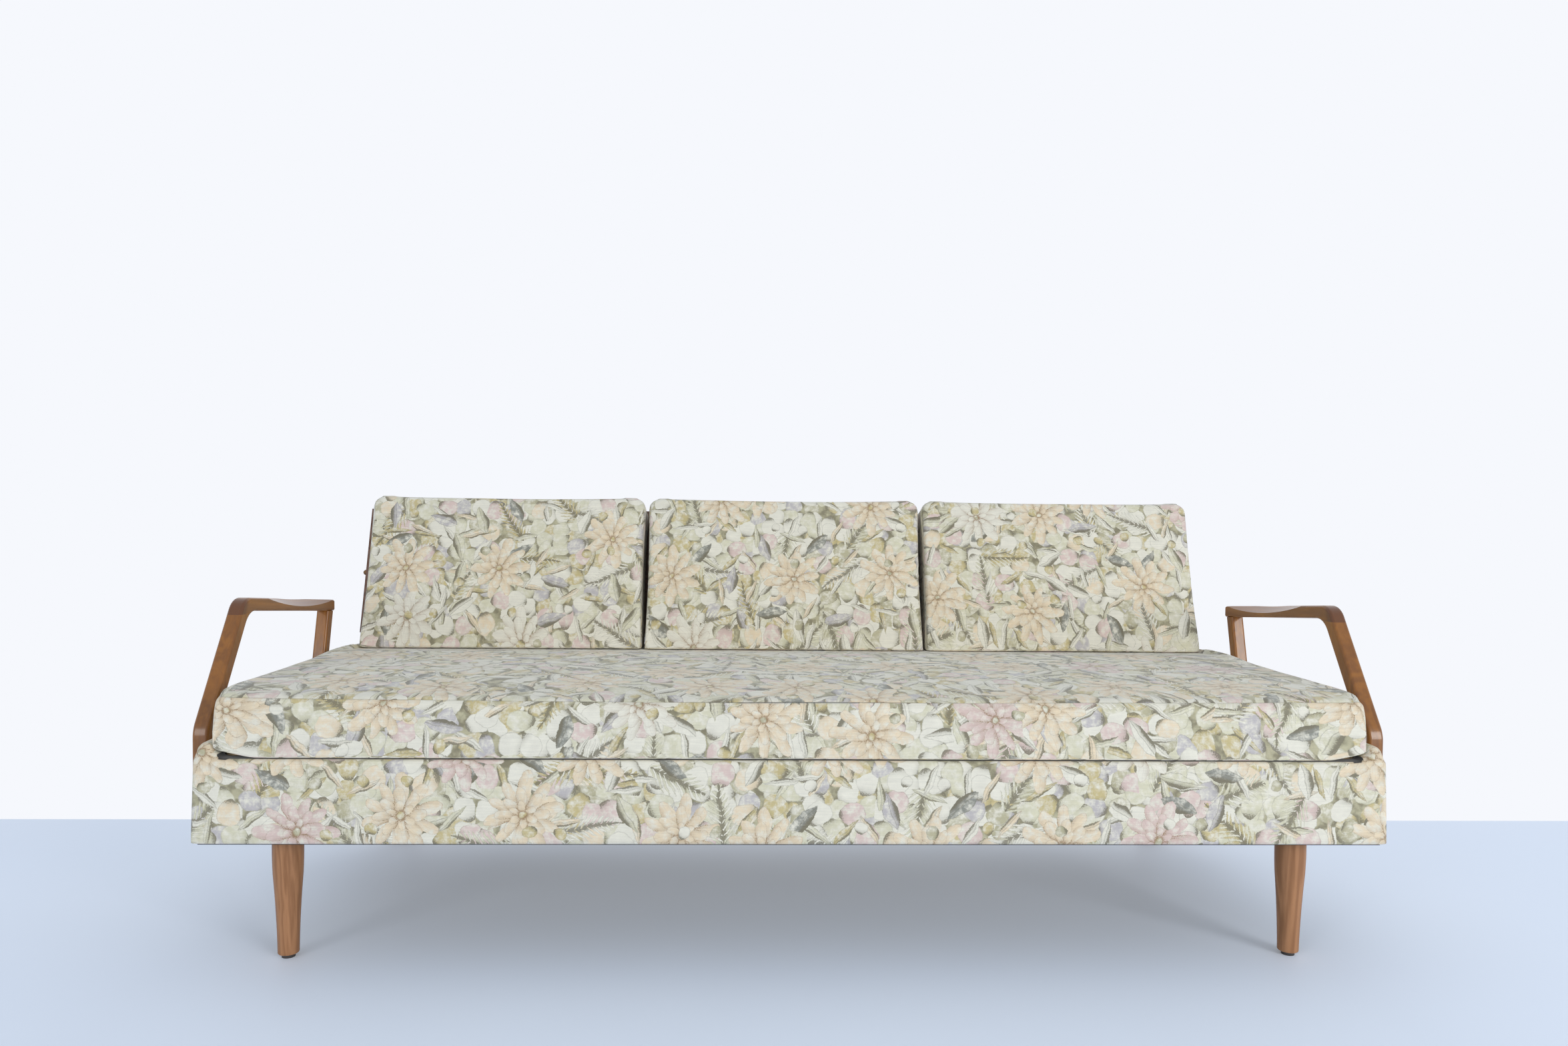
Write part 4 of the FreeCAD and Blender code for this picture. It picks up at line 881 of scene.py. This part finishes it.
def hold_mattress(points):
    """Keeps the mattress on the slats, between the rolls and under the cushions."""
    front_swell, top_swell, clearance = 0.001, 0.0012, 0.0004
    slope, beside_gap, beside_step = 0.135, 0.001, 0.003
    x, y, z = points.T
    side_limit = roll_clear(z)
    x[:] = np.clip(x, -side_limit, side_limit)
    y[:] = np.clip(y, MATTRESS_LOW.y - front_swell, MATTRESS_HIGH.y)
    ahead = np.clip((CUSHION_FRONT - y) / slope, 0, 1)
    beside = smooth_step((np.abs(x) - CUSHION_END + beside_gap) / beside_step)
    rising = MATTRESS_HIGH.z - CUSHION_REST + top_swell
    z[:] = np.clip(z, MATTRESS_LOW.z, CUSHION_REST - clearance + rising * np.maximum(ahead, beside))
    return points


def mattress_room(points):
    """How far out the mattress reaches: a little less at its front, and less beside the rolls."""
    narrowing, lopsided, taper = 0.012, 0.0015, 0.5
    x, y, z = points.T
    ahead = 1 - smooth_step((y - MATTRESS_LOW.y) / taper)
    drawn_in = (narrowing + lopsided * np.sign(x)) * ahead
    return np.minimum(MATTRESS_HIGH.x - drawn_in, roll_clear(z))


def corner_lift(points):
    """How far the lower front corners of the mattress are lifted off the base."""
    lift, curl, reach_back = 0.0135, 1.3, 0.12
    first, span = 0.92, 0.06  # shares of the half width
    x, y, _ = points.T
    outer = np.clip((np.abs(x) / MATTRESS_HIGH.x - first) / span, 0, 1)
    return lift * outer ** curl * fade(y - MATTRESS_LOW.y, reach_back)


def sharpen_lower_edges(points):
    """Brings the points round the mattress's lower edges closer to them, once its mesh is finer."""
    low_band, band_fade = 0.055, 0.03
    x, y, z = points.T
    floor = MATTRESS_LOW.z + corner_lift(points)
    above = past(z, floor)
    low_share = smooth_step((low_band - above) / band_fade)
    room = mattress_room(points)
    side = np.sign(x) * (room - tightened(past(room, np.abs(x)), share=0.25, zone=0.02))
    front = MATTRESS_LOW.y + tightened(past(y, MATTRESS_LOW.y), share=0.35, zone=0.016)
    x += low_share * (side - x)
    y += low_share * (np.minimum(front, y) - y)
    z[:] = np.where(z > floor, floor + tightened(above, share=0.35, zone=0.014), z)
    return points


def shape_mattress(points, sag):
    """Fills the lower corners, lifts their front ends, sags the front edge and lets the panels undulate."""
    solid_taper, seam_fade, front_zone = 0.021, 0.03, 0.16
    rear_fullness, rear_start, rear_fade = 0.0075, -0.05, 0.16
    crisp_width, crisp_fade = 0.045, 0.03
    x, y, z = points.T
    half, thick = MATTRESS_HIGH.x, MATTRESS_HIGH.z - MATTRESS_LOW.z
    full = ROLL_TOP + ROLL_RADIUS
    drawn_in = solid_taper * (1 - np.clip((z - MATTRESS_LOW.z) / (full - MATTRESS_LOW.z), 0, 1))
    room = mattress_room(points)
    x *= room / (half - drawn_in)
    x[:] = np.sign(x) * (room - tightened(past(room, np.abs(x)), share=0.15, zone=0.045))
    low_share = smooth_step((MATTRESS_SEAM - z) / seam_fade)
    tight_front = MATTRESS_LOW.y + tightened(past(y, MATTRESS_LOW.y), share=0.15, zone=0.045)
    y += low_share * (np.minimum(tight_front, y) - y)
    z[:] = MATTRESS_LOW.z + tightened(past(z, MATTRESS_LOW.z), share=0.35, zone=0.02)
    across = np.abs(x) / half
    height = (z - MATTRESS_LOW.z) / thick
    near_front = fade(y - MATTRESS_LOW.y, front_zone)
    z -= sag * (1 - across ** 2) * near_front * smooth_step(height * 1.4)
    z += rear_fullness * (smooth_step((y - rear_start) / rear_fade) * smooth_step(height * 3 - 1.9))
    crisp_top = MATTRESS_HIGH.z - tightened(past(MATTRESS_HIGH.z, z), share=0.35, zone=0.012)
    z += smooth_step((np.abs(x) - half + crisp_width) / crisp_fade) * (crisp_top - z)
    z += corner_lift(points) * smooth_step(1 - height * 1.6)
    for index, point in enumerate(points):
        wave = noise.noise(Vector((point[0] * 5, point[1] * 6, point[2] * 4)))
        ripple = noise.noise(Vector((point[0] * 17, point[1] * 15, point[2] * 9 + 7)))
        point[1] += (0.0018 * wave + 0.0006 * ripple) * near_front[index]
        point[2] += (0.0016 * wave + 0.0005 * ripple) * height[index]
    return points


def around(x, y, half, front):
    """Distance along the front and round a corner on to a side, from the middle of the front."""
    return math.copysign(half + y - front, x)


def held_mattress(points):
    """How firmly each point of the mattress is held: fully along its top seam and its lower edge."""
    seam_inset, foot_inset, reach = 0.006, 0.024, 0.014
    x, y, z = points.T
    edge = np.minimum(MATTRESS_HIGH.x - np.abs(x), np.minimum(y - MATTRESS_LOW.y, MATTRESS_HIGH.y - y))
    from_seam = np.hypot(past(edge, seam_inset), past(MATTRESS_SEAM, z))
    from_foot = np.hypot(past(edge, foot_inset), z - MATTRESS_LOW.z)
    return np.maximum(fade(from_seam, reach), fade(from_foot, reach))


def make_mattress():
    """The seat mattress, boxed, with a plain seam round its top panel."""
    sizes = bpy.context.scene.daybed_padding
    piece = padded_copy("seat_mattress", "seat_mattress_cloth", sizes.mattress_mesh)
    swell(piece, sizes.slack, sizes.mattress_swell, held_mattress(coordinates(piece.data)))
    refill(piece, [(1, 0, 0), (0, 1, 0), (0, 0, 1)])
    points = shape_mattress(coordinates(piece.data), sizes.mattress_sag)
    move_points(piece.data, hold_mattress(points))
    subdivide(piece)
    move_points(piece.data, sharpen_lower_edges(coordinates(piece.data)))
    panel_cut, front_cut = 0.37, 0.11  # where on the cloth the side panels are cut

    def seam_at(point):
        return MATTRESS_SEAM - point.z

    def cloth_at(point, middle, direction, inside):
        if inside or abs(direction.z) > 0.8:
            return point.x, point.y
        if abs(direction.x) > abs(direction.y):
            return around(point.x, point.y, MATTRESS_HIGH.x, MATTRESS_LOW.y), point.z + panel_cut
        return point.x + front_cut, point.z + panel_cut

    sew(piece, seam_at, cloth_at, sizes.seam_depth)
    move_points(piece.data, hold_mattress(coordinates(piece.data)))
    dress(piece, "mattress", CLOTH_SLOT, printed_cloth(), "seat_mattress")


def on_back(point):
    """A point's place on the sloping back: across, up the slope and out of it."""
    behind = point.y - PIVOT.y
    above = point.z - PIVOT.z
    return Vector((
        point.x,
        behind * math.sin(LEAN) + above * math.cos(LEAN),
        above * math.sin(LEAN) - behind * math.cos(LEAN)))


def square_cushion(points, low, high, order):
    """Tightens a cushion's lower corners, sinks its foot and draws in the outer ends of the row."""
    corner_height, foot_height, end_draw = 0.06, 0.05, 0.0015
    x, _, z = points.T
    middle = (low.x + high.x) / 2
    half = (high.x - low.x) / 2
    height = past(z, CUSHION_FOOT)
    from_side = past(half, np.abs(x - middle))
    tight_side = middle + np.sign(x - middle) * (half - tightened(from_side, share=0.35, zone=0.03))
    x += fade(height, corner_height) * (tight_side - x)
    z[:] = CUSHION_FOOT + tightened(height, share=0.35, zone=0.025)
    z -= (CUSHION_FOOT - CUSHION_REST) * fade(height, foot_height)
    outer = order - 1
    from_inner = (x - middle) * outer + half
    x -= outer * end_draw * smooth_step(from_inner / (2 * half))
    return points


def hold_cushion(points, low, high, rear):
    """Keeps a cushion on the mattress, off the panel behind it and off its neighbours."""
    side_swell = 0.0016
    x, y, z = points.T
    x[:] = np.clip(x, low.x - side_swell, high.x + side_swell)
    out = (z - PIVOT.z) * math.sin(LEAN) - (y - PIVOT.y) * math.cos(LEAN)
    short = past(rear, out)
    y -= short * math.cos(LEAN)
    z += short * math.sin(LEAN)
    z[:] = np.maximum(z, CUSHION_REST)
    return points


def make_cushion(name, body, order):
    """A boxed back cushion, firm and a little crowned, with its seams at the edges of its face."""
    corner_round, held_reach, rear_cut = 0.018, 0.012, 0.43
    sizes = bpy.context.scene.daybed_padding
    node = f"back_cushion_{name}"
    piece = padded_copy(node, f"{node}_cloth", sizes.cushion_mesh)
    low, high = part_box(node)
    corners = [on_back(vert.co) for vert in piece.data.vertices]
    top = max(corner.y for corner in corners)
    bottom = min(corner.y for corner in corners)
    rear = min(corner.z for corner in corners)
    face = max(corner.z for corner in corners)
    middle_x = (low.x + high.x) / 2
    half_x = (high.x - low.x) / 2 - sizes.seam_inset
    half_up = (top - bottom) / 2 - sizes.seam_inset
    middle_up = (top + bottom) / 2

    def seam_at(point):
        spot = on_back(point)
        over_x = abs(spot.x - middle_x) - half_x + corner_round
        over_up = abs(spot.y - middle_up) - half_up + corner_round
        outside = math.hypot(max(over_x, 0), max(over_up, 0))
        return outside + min(max(over_x, over_up), 0) - corner_round

    def cloth_at(point, middle, direction, inside):
        spot = on_back(point)
        if inside:
            shift = 0.0 if on_back(middle).z > (rear + face) / 2 else rear_cut
            return spot.x + 0.19 * order, spot.y + shift + 0.23 * order
        deep = face - spot.z
        if abs(direction.x) > 0.7:
            return math.copysign(half_x + deep, spot.x - middle_x) + 0.4 * order, spot.y
        return spot.x + 0.3 * order, spot.y + math.copysign(deep, spot.y - middle_up)

    held = np.array([math.exp(-(seam_at(vert.co) / held_reach) ** 2) for vert in piece.data.vertices])
    swell(piece, sizes.slack, sizes.cushion_swell, held)
    refill(piece, [(1, 0, 0), (0, math.sin(LEAN), math.cos(LEAN)), (0, -math.cos(LEAN), math.sin(LEAN))])
    points = square_cushion(coordinates(piece.data), low, high, order)
    for point in points:
        wave = noise.noise(Vector((point[0] * 6 + 11 * order, point[1] * 5, point[2] * 6)))
        point[1] += 0.0022 * wave
        point[2] += 0.0012 * noise.noise(Vector((point[0] * 4, 5 * order, point[1] * 4)))
    move_points(piece.data, hold_cushion(points, low, high, rear))
    subdivide(piece)
    sew(piece, seam_at, cloth_at, sizes.seam_depth)
    move_points(piece.data, hold_cushion(coordinates(piece.data), low, high, rear))
    dress(piece, body, CLOTH_SLOT, printed_cloth(), node)


def add_box(shape, low, high):
    size = Vector(high) - Vector(low)
    place = Matrix.Translation((Vector(low) + Vector(high)) / 2) @ Matrix.Diagonal((*size, 1))
    bmesh.ops.create_cube(shape, size=1, matrix=place)


def fold_roll_ends(points):
    """Rounds each roll's front end over, with a small hollow in it and a fold of cloth along the rail."""
    end_round, end_depth = 0.009, 0.03
    hollow, hollow_reach = 0.005, 0.0065
    ring, ring_radius, ring_reach = 0.0012, 0.0115, 0.004
    fold, fold_length, fold_reach = 0.0024, 0.075, 0.0045
    x, y, z = points.T
    across = np.abs(x)
    in_front = fade(y - BASE_FRONT, 0.012)
    away = np.hypot(across - ROLL_MIDDLE.x, z - ROLL_MIDDLE.z)
    on_roll = smooth_step((z - RAIL_TOP + 0.004) / 0.012) * smooth_step((across - ROLL_INNER + 0.006) / 0.008)
    at_end = smooth_step((BASE_FRONT + end_depth - y) / end_depth)
    y += on_roll * at_end * end_round * smooth_step((away - 0.004) / 0.014)
    y += in_front * hollow * fade(away, hollow_reach)
    y -= in_front * ring * fade(away - ring_radius, ring_reach)
    along = smooth_step((across - (ROLL_INNER - fold_length)) / fold_length)
    along *= smooth_step((ROLL_MIDDLE.x - across) / 0.012)
    groove = RAIL_TOP - 0.006 + 0.010 * smooth_step((across - ROLL_INNER + 0.02) / 0.02)
    y += in_front * along * fold * fade(z - groove, fold_reach)
    return points


def lean_corners(points):
    """Draws the base's front corners in at the top and lets them out at the bottom, ahead of the arms."""
    let_out, lean, arm_gap, lean_fade = 0.0022, 0.006, 0.004, 0.045
    x, y, z = points.T
    outer = np.clip((np.abs(x) - ROLL_INNER) / (HALF_WIDTH - ROLL_INNER), 0, 1)
    ahead = smooth_step((POST_LOW.y - arm_gap - y) / lean_fade)
    height = (z - BASE_LOW) / (ROLL_TOP - BASE_LOW)
    x += np.sign(x) * outer * ahead * (let_out - lean * height)
    return points


def make_base_cover():
    """The base's padded cover in one piece: front, rear and sides, with a roll along each side's top."""
    sizes = bpy.context.scene.daybed_padding
    shape = bmesh.new()
    depth = BASE_REAR - BASE_FRONT
    add_box(shape, (-HALF_WIDTH, BASE_FRONT, BASE_LOW), (HALF_WIDTH, BASE_REAR, RAIL_TOP))
    for side in (-1, 1):
        edges = sorted((side * ROLL_INNER, side * HALF_WIDTH))
        add_box(shape, (edges[0], BASE_FRONT, BASE_LOW), (edges[1], BASE_REAR, ROLL_MIDDLE.z))
        place = Matrix.Translation((sum(edges) / 2, (BASE_FRONT + BASE_REAR) / 2, ROLL_MIDDLE.z))
        bmesh.ops.create_cone(shape, cap_ends=True, segments=48, radius1=ROLL_RADIUS, radius2=ROLL_RADIUS,
                              depth=depth, matrix=place @ Matrix.Rotation(math.pi / 2, 4, "X"))
    piece = new_piece("base_upholstery", shape)
    remesh(piece, sizes.cover_mesh)
    relax(piece, 4)
    points = coordinates(piece.data)
    for point in points:
        wave = noise.noise(Vector((point[0] * 7, point[1] * 7, point[2] * 9)))
        point[1] *= 1 - 0.0008 * wave
    move_points(piece.data, lean_corners(fold_roll_ends(points)))
    open_cover(piece)
    lay_cover_print(piece)
    padding = piece.modifiers.new("Padding", "SOLIDIFY")
    padding.thickness = sizes.cover_padding
    padding.offset = -1
    finished_mesh(piece)
    dress(piece, "base", CLOTH_SLOT, printed_cloth(), "front_cover", "rear_cover", "left_side_cover",
          "right_side_cover")


def from_ends(point):
    """How far a point lies behind the base's front or ahead of its rear."""
    return min(point.y - BASE_FRONT, BASE_REAR - point.y)


def open_cover(piece):
    """Takes out the cover's underside and its top inside the lips, which the frame fills."""
    turned_under, underside, deck_height, roll_gap = 0.014, 0.004, 0.1, 0.002
    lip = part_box("front_cover")[1].y - BASE_FRONT
    shape = bmesh_of(piece.data)
    unwanted = []
    for face in shape.faces:
        middle = face.calc_center_median()
        from_edge = min(HALF_WIDTH - abs(middle.x), from_ends(middle))
        below = middle.z < BASE_LOW + underside and from_edge > turned_under
        between_rolls = abs(middle.x) < ROLL_INNER - roll_gap
        on_deck = between_rolls and middle.z > BASE_LOW + deck_height and from_ends(middle) > lip
        if below or on_deck:
            unwanted.append(face)
    bmesh.ops.delete(shape, geom=unwanted, context="FACES")
    put_into(piece.data, shape)


def lay_cover_print(piece):
    """Lays the print over the front, round on to the sides and rolls, and marks the painted shade on the lips
    under the mattress.
    """
    deck_shade_gap, deck_shade_inset, roll_gap, end_depth = 0.001, 0.006, 0.002, 0.012
    shape = bmesh_of(piece.data)
    cloth = shape.loops.layers.uv.new("cloth")
    seam = shape.verts.layers.float.new("seam")
    lining = shape.verts.layers.float.new("lining")
    # Painted shade goes on the base's top between the rolls, inside the lips, under the mattress
    for vert in shape.verts:
        vert[seam] = 1.0
        between_rolls = abs(vert.co.x) < ROLL_INNER - deck_shade_gap
        on_top = vert.co.z > RAIL_TOP - deck_shade_inset
        vert[lining] = float(between_rolls and on_top and from_ends(vert.co) > deck_shade_inset)
    shape.normal_update()
    for face in shape.faces:
        middle = face.calc_center_median()
        on_side = abs(face.normal.x) > abs(face.normal.y)
        on_roll = abs(middle.x) > ROLL_INNER - roll_gap and from_ends(middle) > end_depth
        for loop in face.loops:
            point = loop.vert.co
            if on_side or on_roll:
                inward = HALF_WIDTH - abs(point.x)
                place = (around(point.x, point.y, HALF_WIDTH, BASE_FRONT), point.z + inward)
            else:
                place = (point.x, point.z + from_ends(point))
            loop[cloth].uv = place
    put_into(piece.data, shape)


def make_dust_cloth():
    """The dark cloth under the base: it sags a little, and is cut out round the legs."""
    hole, cut_margin, pull_margin = 0.0285, 0.004, 0.02
    drop, sag, waviness, cloth_thickness = 0.0008, 0.002, 0.0012, 0.0006
    width = DUST_HIGH.x - DUST_LOW.x
    length = DUST_HIGH.y - DUST_LOW.y
    middle = (DUST_LOW + DUST_HIGH) / 2
    stretched = Matrix.Diagonal((width / 2, length / 2, 1, 1))
    place = Matrix.Translation((middle.x, middle.y, DUST_HIGH.z)) @ stretched
    shape = bmesh.new()
    bmesh.ops.create_grid(shape, x_segments=150, y_segments=60, size=1, matrix=place)
    for leg in WOODEN_NODES["leg_wood"]["z"]:
        low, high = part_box(leg)
        centre = Vector(((low.x + high.x) / 2, (low.y + high.y) / 2, DUST_HIGH.z))
        inside = [face for face in shape.faces
                  if (face.calc_center_median() - centre).length < hole + cut_margin]
        bmesh.ops.delete(shape, geom=inside, context="FACES")
        for vert in shape.verts:
            out = vert.co - centre
            if vert.is_boundary and out.length < hole + pull_margin:
                vert.co = centre + out.normalized() * hole
    for vert in shape.verts:
        across = 1 - ((vert.co.x - middle.x) / (width / 2)) ** 4
        along = 1 - ((vert.co.y - middle.y) / (length / 2)) ** 4
        wave = noise.noise(vert.co * 6)
        vert.co.z -= drop + max(across * along, 0) * (sag + waviness * wave)
    piece = new_piece("dust_cloth", shape)
    thickness = piece.modifiers.new("Thickness", "SOLIDIFY")
    thickness.thickness = cloth_thickness
    thickness.offset = 0
    finished_mesh(piece)
    dress(piece, "base", "dust_cloth", felted_cloth(), "dust_cover")


def paint(nodes, material):
    """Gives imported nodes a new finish."""
    for name in nodes:
        for spot in frame["nodes"][name].material_slots:
            spot.material = material


def paint_wood():
    """Wood finishes with the grain along each piece."""
    look = bpy.context.scene.daybed_wood
    # Light and dark grain, roughness and how much lacquer
    tones = {
        "arm_wood": (look.arm_light, look.arm_dark, 0.3, 0.55),
        "leg_wood": (look.leg_light, look.leg_dark, 0.4, 0.05),
        "back_wood": (look.back_light, look.back_dark, 0.36, 0.2),
        "frame_wood": (look.frame_light, look.frame_dark, 0.6, 0.0),
    }
    for name, by_axis in WOODEN_NODES.items():
        for axis, nodes in by_axis.items():
            end_colour = look.arm_end if nodes == ARMRESTS else None
            paint(nodes, wood_material(name, axis, *tones[name], end_colour))


def paint_fittings():
    """Finishes of bolts, screws, plates and glides."""
    grey, dull_grey = display(186, 186, 186), display(150, 148, 144)
    bronze, dark_bronze = display(120, 92, 64), display(76, 58, 44)
    black, scuffed_black = display(52, 48, 46), display(70, 66, 64)
    paint(STEEL_NODES, worn_material("plain_steel", grey, dull_grey, gloss=0.22, metallic=1.0))
    paint(["pivot_bolts"], worn_material("bronzed_steel", bronze, dark_bronze, gloss=0.25, metallic=1.0))
    paint(["foot_glides"], worn_material("glide_plastic", black, scuffed_black, gloss=0.4, metallic=0.0))


def flat_sheet(name, place, material):
    shape = bmesh.new()
    bmesh.ops.create_grid(shape, x_segments=1, y_segments=1, size=1, matrix=place)
    sheet = new_piece(name, shape)
    sheet.data.materials.append(material)
    return sheet


def seen_directly(graph):
    """1 for what the camera sees, straight or in gloss and glass."""
    path = graph.node("ShaderNodeLightPath").outputs
    return graph.math("MAXIMUM", path["Is Camera Ray"],
                      graph.math("MAXIMUM", path["Is Glossy Ray"], path["Is Transmission Ray"]))


def mix_shaders(graph, share, first, second, output):
    both = graph.node("ShaderNodeMixShader", {0: share, 1: first.outputs[0], 2: second.outputs[0]})
    graph.feed(graph.node(output).inputs["Surface"], both.outputs[0])


def floor_material(look):
    """A pale floor, lifted a little for the camera alone."""
    material, graph, surface = new_material("floor")
    cloudy = graph.noise(graph.object_place(), 1.5, 3.0)
    darker = tuple(level * 0.96 for level in look.floor)
    graph.feed(surface.inputs["Base Color"], graph.mixed(cloudy, (*darker, 1), (*look.floor, 1)))
    graph.feed(surface.inputs["Roughness"], graph.between(cloudy, 0.5, 0.65))
    lifted = graph.mixed(seen_directly(graph), (0, 0, 0, 1), (*look.floor_lift, 1))
    graph.feed(surface.inputs["Emission Color"], lifted)
    surface.inputs["Emission Strength"].default_value = 1.0
    return material


def backdrop_material(look):
    """Plain paper to the camera from its front, and clear to the lamps and from behind."""
    material, graph = bare_material("backdrop")
    facing = 1 - graph.term("Backfacing", "ShaderNodeNewGeometry", {})
    paper = graph.node("ShaderNodeEmission", {"Color": (*look.backdrop, 1), "Strength": 1.0})
    clear = graph.node("ShaderNodeBsdfTransparent")
    mix_shaders(graph, seen_directly(graph) * facing, clear, paper, "ShaderNodeOutputMaterial")
    return material


def make_sheets(look):
    """The floor, the backdrop and a cove that slopes from the floor's end up to the backdrop."""
    sheets = [flat_sheet("floor", Matrix.Diagonal((STAGE_HALF, STAGE_HALF, 1, 1)), floor_material(look))]
    material = backdrop_material(look)
    for name, foot, height in (("backdrop", look.backdrop_place, BACKDROP_HEIGHT),
                               ("cove", look.cove_place, look.cove_height)):
        rise = Vector((0, look.backdrop_place - foot, height))
        middle = Matrix.Translation(Vector((0, foot, 0)) + rise / 2)
        turned = middle @ Matrix.Rotation(math.atan2(rise.z, rise.y), 4, "X")
        place = turned @ Matrix.Diagonal((STAGE_HALF, rise.length / 2, 1, 1))
        sheets.append(flat_sheet(name, place, material))


def light_stage(look):
    """Even light from all round, and three large soft lamps."""
    world = bpy.data.worlds.new("soft_sky")
    world.use_nodes = True
    world.node_tree.nodes.clear()
    graph = Graph(world.node_tree)
    even = graph.node("ShaderNodeBackground", {"Color": (*look.sky_tint, 1), "Strength": look.sky})
    white = graph.node("ShaderNodeBackground", {"Color": (*look.backdrop, 1), "Strength": 1.0})
    mix_shaders(graph, seen_directly(graph), even, white, "ShaderNodeOutputWorld")
    bpy.context.scene.world = world
    for name, (spot, size) in LAMPS.items():
        lamp = bpy.data.lights.new(name, "AREA")
        lamp.energy = getattr(look, name)
        lamp.color = look.lamp_tint
        lamp.size = size
        holder = link_object(name, lamp)
        holder.location = spot
        holder.rotation_euler = (LAMP_AIM - Vector(spot)).to_track_quat("-Z", "Y").to_euler()


def place_camera():
    """A wide lens a little above the seat, nearly straight in front."""
    lens = bpy.data.cameras.new("camera")
    lens.sensor_fit = "HORIZONTAL"
    lens.sensor_width = SENSOR_WIDTH
    lens.lens = LENS_LENGTH
    lens.shift_x, lens.shift_y = LENS_SHIFT
    camera = link_object("camera", lens)
    place = Matrix.Translation(CAMERA_PLACE)
    for axis, degrees in CAMERA_TURNS.items():
        place = place @ Matrix.Rotation(math.radians(degrees), 4, axis)
    camera.matrix_world = place @ Matrix.Rotation(math.pi / 2, 4, "X")
    bpy.context.scene.camera = camera
    bpy.context.scene.view_settings.view_transform = "Standard"


def make_stage():
    """Floor, backdrop, soft light and the camera."""
    look = bpy.context.scene.daybed_stage
    make_sheets(look)
    light_stage(look)
    place_camera()


class DAYBED_OT_stage(bpy.types.Operator):
    """Make the floor, the backdrop, the lights and the camera"""
    bl_idname = "daybed.stage"
    bl_label = "Stage"

    def execute(self, context):
        make_stage()
        return {"FINISHED"}


class DAYBED_OT_base_cover(bpy.types.Operator):
    """Make the base's padded cover with its rolls"""
    bl_idname = "daybed.base_cover"
    bl_label = "Base cover"

    def execute(self, context):
        make_base_cover()
        return {"FINISHED"}


class DAYBED_OT_dust_cloth(bpy.types.Operator):
    """Make the dark cloth under the base"""
    bl_idname = "daybed.dust_cloth"
    bl_label = "Dust cloth"

    def execute(self, context):
        make_dust_cloth()
        return {"FINISHED"}


class DAYBED_OT_mattress(bpy.types.Operator):
    """Make the seat mattress"""
    bl_idname = "daybed.mattress"
    bl_label = "Seat mattress"

    def execute(self, context):
        make_mattress()
        return {"FINISHED"}


class DAYBED_OT_cushions(bpy.types.Operator):
    """Make the three back cushions"""
    bl_idname = "daybed.cushions"
    bl_label = "Back cushions"

    def execute(self, context):
        for order, (name, body) in enumerate(CUSHIONS.items()):
            make_cushion(name, body, order)
        return {"FINISHED"}


class DAYBED_OT_wood(bpy.types.Operator):
    """Finish the arms, legs, back and inner frame in wood"""
    bl_idname = "daybed.wood"
    bl_label = "Wood"

    def execute(self, context):
        paint_wood()
        return {"FINISHED"}


class DAYBED_OT_fittings(bpy.types.Operator):
    """Finish the bolts, screws, plates and glides"""
    bl_idname = "daybed.fittings"
    bl_label = "Fittings"

    def execute(self, context):
        paint_fittings()
        return {"FINISHED"}


SETTINGS = {
    "daybed_cloth": ClothSettings,
    "daybed_wood": WoodSettings,
    "daybed_padding": PaddingSettings,
    "daybed_stage": StageSettings,
}
OPERATORS = [
    DAYBED_OT_stage, DAYBED_OT_wood, DAYBED_OT_fittings, DAYBED_OT_base_cover, DAYBED_OT_dust_cloth,
    DAYBED_OT_mattress, DAYBED_OT_cushions,
]


class DAYBED_PT_pieces(bpy.types.Panel):
    """Settings and pieces of the daybed sofa"""
    bl_idname = "DAYBED_PT_pieces"
    bl_label = "Daybed sofa"
    bl_space_type = "VIEW_3D"
    bl_region_type = "UI"
    bl_category = "Daybed"

    def draw(self, context):
        for attribute, settings in SETTINGS.items():
            box = self.layout.box()
            for name in settings.__annotations__:
                box.prop(getattr(context.scene, attribute), name)
        for operator in OPERATORS:
            self.layout.operator(operator.bl_idname)


def register():
    for attribute, settings in SETTINGS.items():
        bpy.utils.register_class(settings)
        setattr(bpy.types.Scene, attribute, bpy.props.PointerProperty(type=settings))
    for operator in OPERATORS:
        bpy.utils.register_class(operator)
    bpy.utils.register_class(DAYBED_PT_pieces)


def unregister():
    bpy.utils.unregister_class(DAYBED_PT_pieces)
    for operator in reversed(OPERATORS):
        bpy.utils.unregister_class(operator)
    for attribute, settings in SETTINGS.items():
        delattr(bpy.types.Scene, attribute)
        bpy.utils.unregister_class(settings)


def main():
    register()
    bpy.ops.daybed.stage()
    bpy.ops.daybed.wood()
    bpy.ops.daybed.fittings()
    bpy.ops.daybed.base_cover()
    bpy.ops.daybed.dust_cloth()
    bpy.ops.daybed.mattress()
    bpy.ops.daybed.cushions()


if __name__ == "__main__":
    main()
